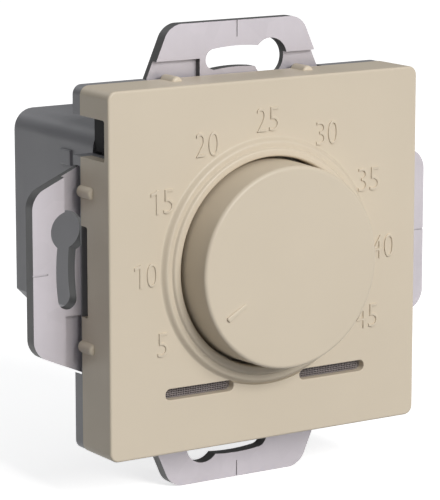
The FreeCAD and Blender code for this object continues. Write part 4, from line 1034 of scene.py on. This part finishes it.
def slot_tool(sizes):
    """The curved slot with its keyhole, as a cutter."""
    y0 = -sizes.thick - CLEAR
    half = sizes.slot / 2
    leave_edit()
    bpy.ops.mesh.primitive_plane_add(size=1, location=(0, (y0 + CLEAR) / 2, SCREW_CIRCLE),
                                     rotation=(0, math.pi / 2, 0))
    tool = bpy.context.object
    tool.name = "slot tool"
    tool.scale = (sizes.slot, CLEAR - y0, 1)
    settle(tool)
    tool.rotation_euler = (0, sizes.slot_end, 0)
    settle(tool)
    choose(tool, "FACE", lambda face: True)
    bpy.ops.mesh.spin(steps=14, angle=sizes.slot_end - sizes.keyhole, center=(0, 0, 0), axis=(0, 1, 0))
    bpy.ops.mesh.select_all(action="SELECT")
    bpy.ops.mesh.normals_make_consistent(inside=False)
    leave_edit()
    ends = []
    for angle, radius in ((sizes.slot_end, half), (sizes.keyhole, KEYHOLE)):
        ends.append(rod("slot end", radius, y0, CLEAR, SCREW_CIRCLE * math.sin(angle),
                        SCREW_CIRCLE * math.cos(angle), 48))
    return weld(tool, ends)


class THERMOSTAT_OT_plate(bpy.types.Operator):
    """Model the steel mounting plate: ring, ears, slots, recesses and centre marks"""
    bl_idname = "thermostat.plate"
    bl_label = "Mounting plate"

    def execute(self, context):
        sizes = context.scene.thermostat.plate
        y0 = -sizes.thick - CLEAR
        plate = rod("mounting_plate_stamping", sizes.ring_outer, -sizes.thick, 0, 0, 0, AROUND)
        weld(plate, [quarter_turned(ear(sizes, sizes.thick), quarter) for quarter in range(4)])
        cut(plate, [rod("ring hole", sizes.ring_inner, y0, CLEAR, 0, 0, AROUND)])
        low = math.sqrt(sizes.ring_outer ** 2 - sizes.tongue ** 2)
        for quarter in range(4):
            tools = [slot_tool(sizes)]
            for side in (-1, 1):
                x0, x1 = sorted((side * sizes.tongue, side * RECESS_FAR))
                tools.append(block("recess", (x0, -FAR, low), (x1, -sizes.sheet, sizes.recess)))
            tools.append(block("mark", (-sizes.mark / 2, -FAR, PLATE_HIGH.z - sizes.mark_length),
                               (sizes.mark / 2, sizes.mark_depth - sizes.thick, PLATE_HIGH.z + CLEAR)))
            cut(plate, [quarter_turned(tool, quarter) for tool in tools])
        soften(plate, 0.09 * MM, 2, 50)
        finish_piece(plate, "base", "zinc_steel", "mounting_plate")
        plate.data.materials.append(MATERIALS["cut_edge"])
        for face in plate.data.polygons:
            face.material_index = 1 if abs(face.normal.y) < 0.5 else 0
        return {"FINISHED"}


class THERMOSTAT_OT_carrier(bpy.types.Operator):
    """Model the grey carrier frame behind the cover"""
    bl_idname = "thermostat.carrier"
    bl_label = "Carrier frame"

    def execute(self, context):
        settings = context.scene.thermostat
        sizes = settings.housing
        cover = settings.cover
        half = CARRIER_HIGH.x - cover.lug_proud
        inner = sizes.half + sizes.carrier_slip
        back = CARRIER_HIGH.y
        carrier = block("carrier_frame_moulding", (-half, CARRIER_FRONT, -half), (half, back, half))
        round_edges(carrier, upright(), cover.corner, 6)
        weld(carrier, cover_lugs(cover, CARRIER_FRONT, back, half))
        skirt = inner + sizes.carrier_wall
        weld(carrier, [block("skirt", (-skirt, CARRIER_LOW.y, -skirt),
                             (skirt, CARRIER_FRONT + SKIRT_LAP, skirt))])
        cut(carrier, [block("inside", (-inner, -FAR, -inner), (inner, FAR, inner))])
        plate = settings.plate
        deep = plate.thick + EAR_SKIN
        ears = [quarter_turned(ear(plate, deep, EAR_ROOM), quarter) for quarter in range(4)]
        for tab in ears:
            tab.location.y = CLEAR
            tab.scale.y = 1 + CLEAR / plate.thick
            settle(tab)
        cut(carrier, ears)
        cut(carrier, [block("window", (-FAR, -FAR, cover.window_low),
                            (CLEAR - inner, FAR, cover.window_high))])
        soften(carrier, 0.08 * MM, 2, 50)
        finish_piece(carrier, "base", "grey_plastic", "carrier_frame")
        return {"FINISHED"}


class THERMOSTAT_OT_housing(bpy.types.Operator):
    """Model the rear housing with its bevels, catches, wire entries and screw holes"""
    bl_idname = "thermostat.housing"
    bl_label = "Rear housing"

    def execute(self, context):
        sizes = context.scene.thermostat.housing
        half = sizes.half
        back = HOUSING_HIGH.y
        top = HOUSING_HIGH.z
        bottom = HOUSING_LOW.z
        body = block("rear_housing_moulding", (-half, 0, bottom), (half, back, top))
        round_edges(body, upright(lambda place: near(place.z, top)), sizes.corner, 8)
        round_edges(body, upright(lambda place: near(place.z, bottom)), sizes.bevel, 1)
        round_edges(body, level(back), sizes.edge, 4)
        hollow(body, lambda face: near(middle(face).y, 0), sizes.wall, back - sizes.back)
        for side in (-1, 1):
            x0, x1 = sorted((side * (half - CATCH_FOOT), side * HOUSING_HIGH.x))
            catch = block("catch", (x0, CATCH_Y, CATCH_Z[0]), (x1, CATCH_Y + sizes.catch, CATCH_Z[1]))
            round_edges(catch, lambda edge: near(abs(middle(edge).x), HOUSING_HIGH.x), 0.15 * MM, 3)
            weld(body, [catch])
        for place in CLAMP_PLACES:
            cut(body, [rod("access", sizes.access, back - 3 * MM, back + CLEAR, place.x, place.z, 48)])
            wide = sizes.entry / 2
            cut(body, [block("entry", (place.x - wide, place.y - ENTRY_BEHIND, -FAR),
                             (place.x + wide, place.y + ENTRY_AHEAD, place.z))])
        for x, z in housing_post_places():
            post = rod("post", POST_R, 0, BOARD_FRONT - POST_GAP, x, z)
            cut(post, [rod("post hole", POST_HOLE_R, -CLEAR, BOARD_FRONT, x, z, 24)])
            weld(body, [post])
        soften(body, 0.12 * MM, 2, 60)
        finish_piece(body, "base", "grey_plastic", "rear_housing")
        return {"FINISHED"}


def housing_post_places():
    """Where the four housing screws stand."""
    low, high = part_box("housing_screws")
    upper = (high.x - HOUSING_SCREW_R, high.z - HOUSING_SCREW_R)
    lower = (LOWER_POST_X, low.z + HOUSING_SCREW_R)
    return [(side * x, z) for x, z in (upper, lower) for side in (-1, 1)]


class THERMOSTAT_OT_screens(bpy.types.Operator):
    """Weave the wire mesh behind the vents"""
    bl_idname = "thermostat.screens"
    bl_label = "Vent mesh"

    def execute(self, context):
        sizes = context.scene.thermostat.screens
        depth = (SCREEN_LOW.y + SCREEN_HIGH.y) / 2
        left = sizes.near - (SCREEN_HIGH.x - sizes.far)
        rows = int((SCREEN_HIGH.z - SCREEN_LOW.z) / sizes.pitch)
        columns = int((SCREEN_HIGH.x - left) / sizes.pitch)
        standing = self.weave("upright", rows, columns, sizes, (1, 0, 0), (0, 0, 1))
        lying = self.weave("level", columns, rows, sizes, (0, 0, 1), (1, 0, 0))
        strip = joined([standing, lying])
        strip.name = "vent_mesh_right"
        strip.location = (left, depth, SCREEN_LOW.z)
        settle(strip)
        twin = copy_of(strip, "vent_mesh_left")
        twin.location.x = -left - SCREEN_HIGH.x
        settle(twin)
        for piece in (strip, twin):
            finish_piece(piece, "base", "dark_mesh")
        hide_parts("vent_screens")
        return {"FINISHED"}

    def weave(self, name, crossings, count, sizes, step, run):
        """Parallel wires that pass over and under the wires that cross them."""
        step = Vector(step) * sizes.pitch
        run = Vector(run) * sizes.pitch
        wires = []
        for phase in (0, 1):
            path = bpy.data.curves.new(name, "CURVE")
            path.dimensions = "3D"
            path.bevel_depth = sizes.wire
            path.bevel_resolution = 0
            path.use_fill_caps = True
            line = path.splines.new("POLY")
            points = crossings * 2
            line.points.add(points)
            swing = sizes.wire * (1 if run.x else -1)
            for index, point in enumerate(line.points):
                lift = swing * math.sin(math.pi * (index / 2 + phase))
                place = run * (index / 2) + step * (phase + 0.5) + Vector((0, lift, 0))
                point.co = (*place, 1)
            wire = bpy.data.objects.new(name, path)
            bpy.context.collection.objects.link(wire)
            take(wire)
            bpy.ops.object.convert(target="MESH")
            wires.append(bpy.context.object)
        mesh = joined(wires)
        apply_modifier(mesh, "ARRAY", use_relative_offset=False, use_constant_offset=True,
                       constant_offset_displace=step * 2, count=count // 2)
        return mesh


class THERMOSTAT_OT_inner(bpy.types.Operator):
    """Give every piece that is kept from the frame its finish"""
    bl_idname = "thermostat.inner"
    bl_label = "Inner pieces"

    def execute(self, context):
        slots = {part["node"]: part["material_slot"] for part in frame["record"]["subparts"]}
        for node, piece in frame["nodes"].items():
            for holder in piece if isinstance(piece, (list, tuple)) else [piece]:
                holder.data.materials.clear()
                holder.data.materials.append(MATERIALS[slots[node]])
        return {"FINISHED"}


class THERMOSTAT_OT_stage(bpy.types.Operator):
    """Set the pale floor, the soft lights and the camera"""
    bl_idname = "thermostat.stage"
    bl_label = "Stage"

    def execute(self, context):
        colours = context.scene.thermostat.finishes
        leave_edit()
        bpy.ops.mesh.primitive_plane_add(size=6, location=(0, 0, FRAME_BOUNDS[0][2] - 0.05 * MM))
        floor = bpy.context.object
        floor.name = "floor"
        material, tree, shader, place = new_material("pale floor", tuple(colours.floor))
        mottle = place_group(tree, GROUPS["grain"], place, Grain=800.0)
        tree.links.new(tinted(tree, tuple(colours.floor), mottle.outputs["Tone"], 0.004),
                       shader.inputs["Base Color"])
        shader.inputs["Roughness"].default_value = 0.9
        shader.inputs["Emission Color"].default_value = (1, 1, 1, 1)
        shader.inputs["Emission Strength"].default_value = 0.62
        floor.data.materials.append(material)
        floor.visible_diffuse = False
        world = bpy.data.worlds.new("soft room")
        world.use_nodes = True
        background = world.node_tree.nodes["Background"]
        background.inputs["Strength"].default_value = 1.0
        tree = world.node_tree
        place = tree.nodes.new("ShaderNodeTexCoord").outputs["Generated"]
        height = tree.nodes.new("ShaderNodeSeparateXYZ")
        tree.links.new(place, height.inputs["Vector"])
        level = remap(tree, height.outputs["Z"], -1.0, 1.0, *ROOM_LIGHT)
        tint = tree.nodes.new("ShaderNodeVectorMath")
        tint.operation = "SCALE"
        tint.inputs[0].default_value = (0.98, 0.99, 1.0)
        tree.links.new(level, tint.inputs["Scale"])
        tree.links.new(tint.outputs["Vector"], background.inputs["Color"])
        context.scene.world = world
        self.area("key", *KEY_LIGHT)
        self.area("back", *BACK_LIGHT)
        self.camera(context)
        context.scene.view_settings.view_transform = "Standard"
        return {"FINISHED"}

    def area(self, name, place, size, power, tint):
        """A square soft light aimed at the thermostat."""
        leave_edit()
        bpy.ops.object.light_add(type="AREA", location=place)
        lamp = bpy.context.object
        lamp.name = name
        lamp.data.size = size
        lamp.data.energy = power
        lamp.data.color = tint
        lamp.rotation_euler = Vector(place).to_track_quat("Z", "Y").to_euler()

    def camera(self, context):
        """The camera, in front on the left and a little above."""
        place = Vector(CAMERA_PLACE) * MM
        target = Vector(CAMERA_TARGET) * MM
        leave_edit()
        bpy.ops.object.camera_add(location=place)
        camera = bpy.context.object
        camera.name = "camera"
        camera.rotation_euler = (place - target).to_track_quat("Z", "Y").to_euler()
        camera.data.sensor_fit = "VERTICAL"
        camera.data.sensor_height = 36
        camera.data.lens = 201.5
        camera.data.clip_start = 0.01
        context.scene.camera = camera


class THERMOSTAT_PT_panel(bpy.types.Panel):
    """The thermostat's panel in the sidebar"""
    bl_label = "Thermostat"
    bl_idname = "THERMOSTAT_PT_panel"
    bl_space_type = "VIEW_3D"
    bl_region_type = "UI"
    bl_category = "Thermostat"

    def draw(self, context):
        for operator in OPERATORS:
            self.layout.operator(operator.bl_idname)
        for name in GROUP_NAMES:
            group = getattr(context.scene.thermostat, name)
            column = self.layout.column(heading=name.capitalize())
            for title in group.__annotations__:
                column.prop(group, title)


OPERATORS = (
    THERMOSTAT_OT_cover,
    THERMOSTAT_OT_numerals,
    THERMOSTAT_OT_knob,
    THERMOSTAT_OT_plate,
    THERMOSTAT_OT_carrier,
    THERMOSTAT_OT_housing,
    THERMOSTAT_OT_screens,
    THERMOSTAT_OT_inner,
    THERMOSTAT_OT_stage,
)
SETTINGS = (CoverSizes, CollarSizes, NumeralSizes, KnobSizes, PlateSizes, HousingSizes, ScreenSizes,
            Finishes, ThermostatSettings)
GROUP_NAMES = ("cover", "collar", "numerals", "knob", "plate", "housing", "screens", "finishes")
CLASSES = SETTINGS + OPERATORS + (THERMOSTAT_PT_panel,)


def register():
    """Make the settings, operators and panel known."""
    for item in CLASSES:
        bpy.utils.register_class(item)
    bpy.types.Scene.thermostat = PointerProperty(type=ThermostatSettings)


def unregister():
    """Take the settings, operators and panel away again."""
    del bpy.types.Scene.thermostat
    for item in reversed(CLASSES):
        bpy.utils.unregister_class(item)


def main():
    """Build the thermostat and its stage."""
    register()
    make_materials(bpy.context.scene.thermostat.finishes)
    bpy.ops.thermostat.cover()
    bpy.ops.thermostat.numerals()
    bpy.ops.thermostat.knob()
    bpy.ops.thermostat.plate()
    bpy.ops.thermostat.carrier()
    bpy.ops.thermostat.housing()
    bpy.ops.thermostat.screens()
    bpy.ops.thermostat.inner()
    bpy.ops.thermostat.stage()
    leave_edit()


if __name__ == "__main__":
    main()
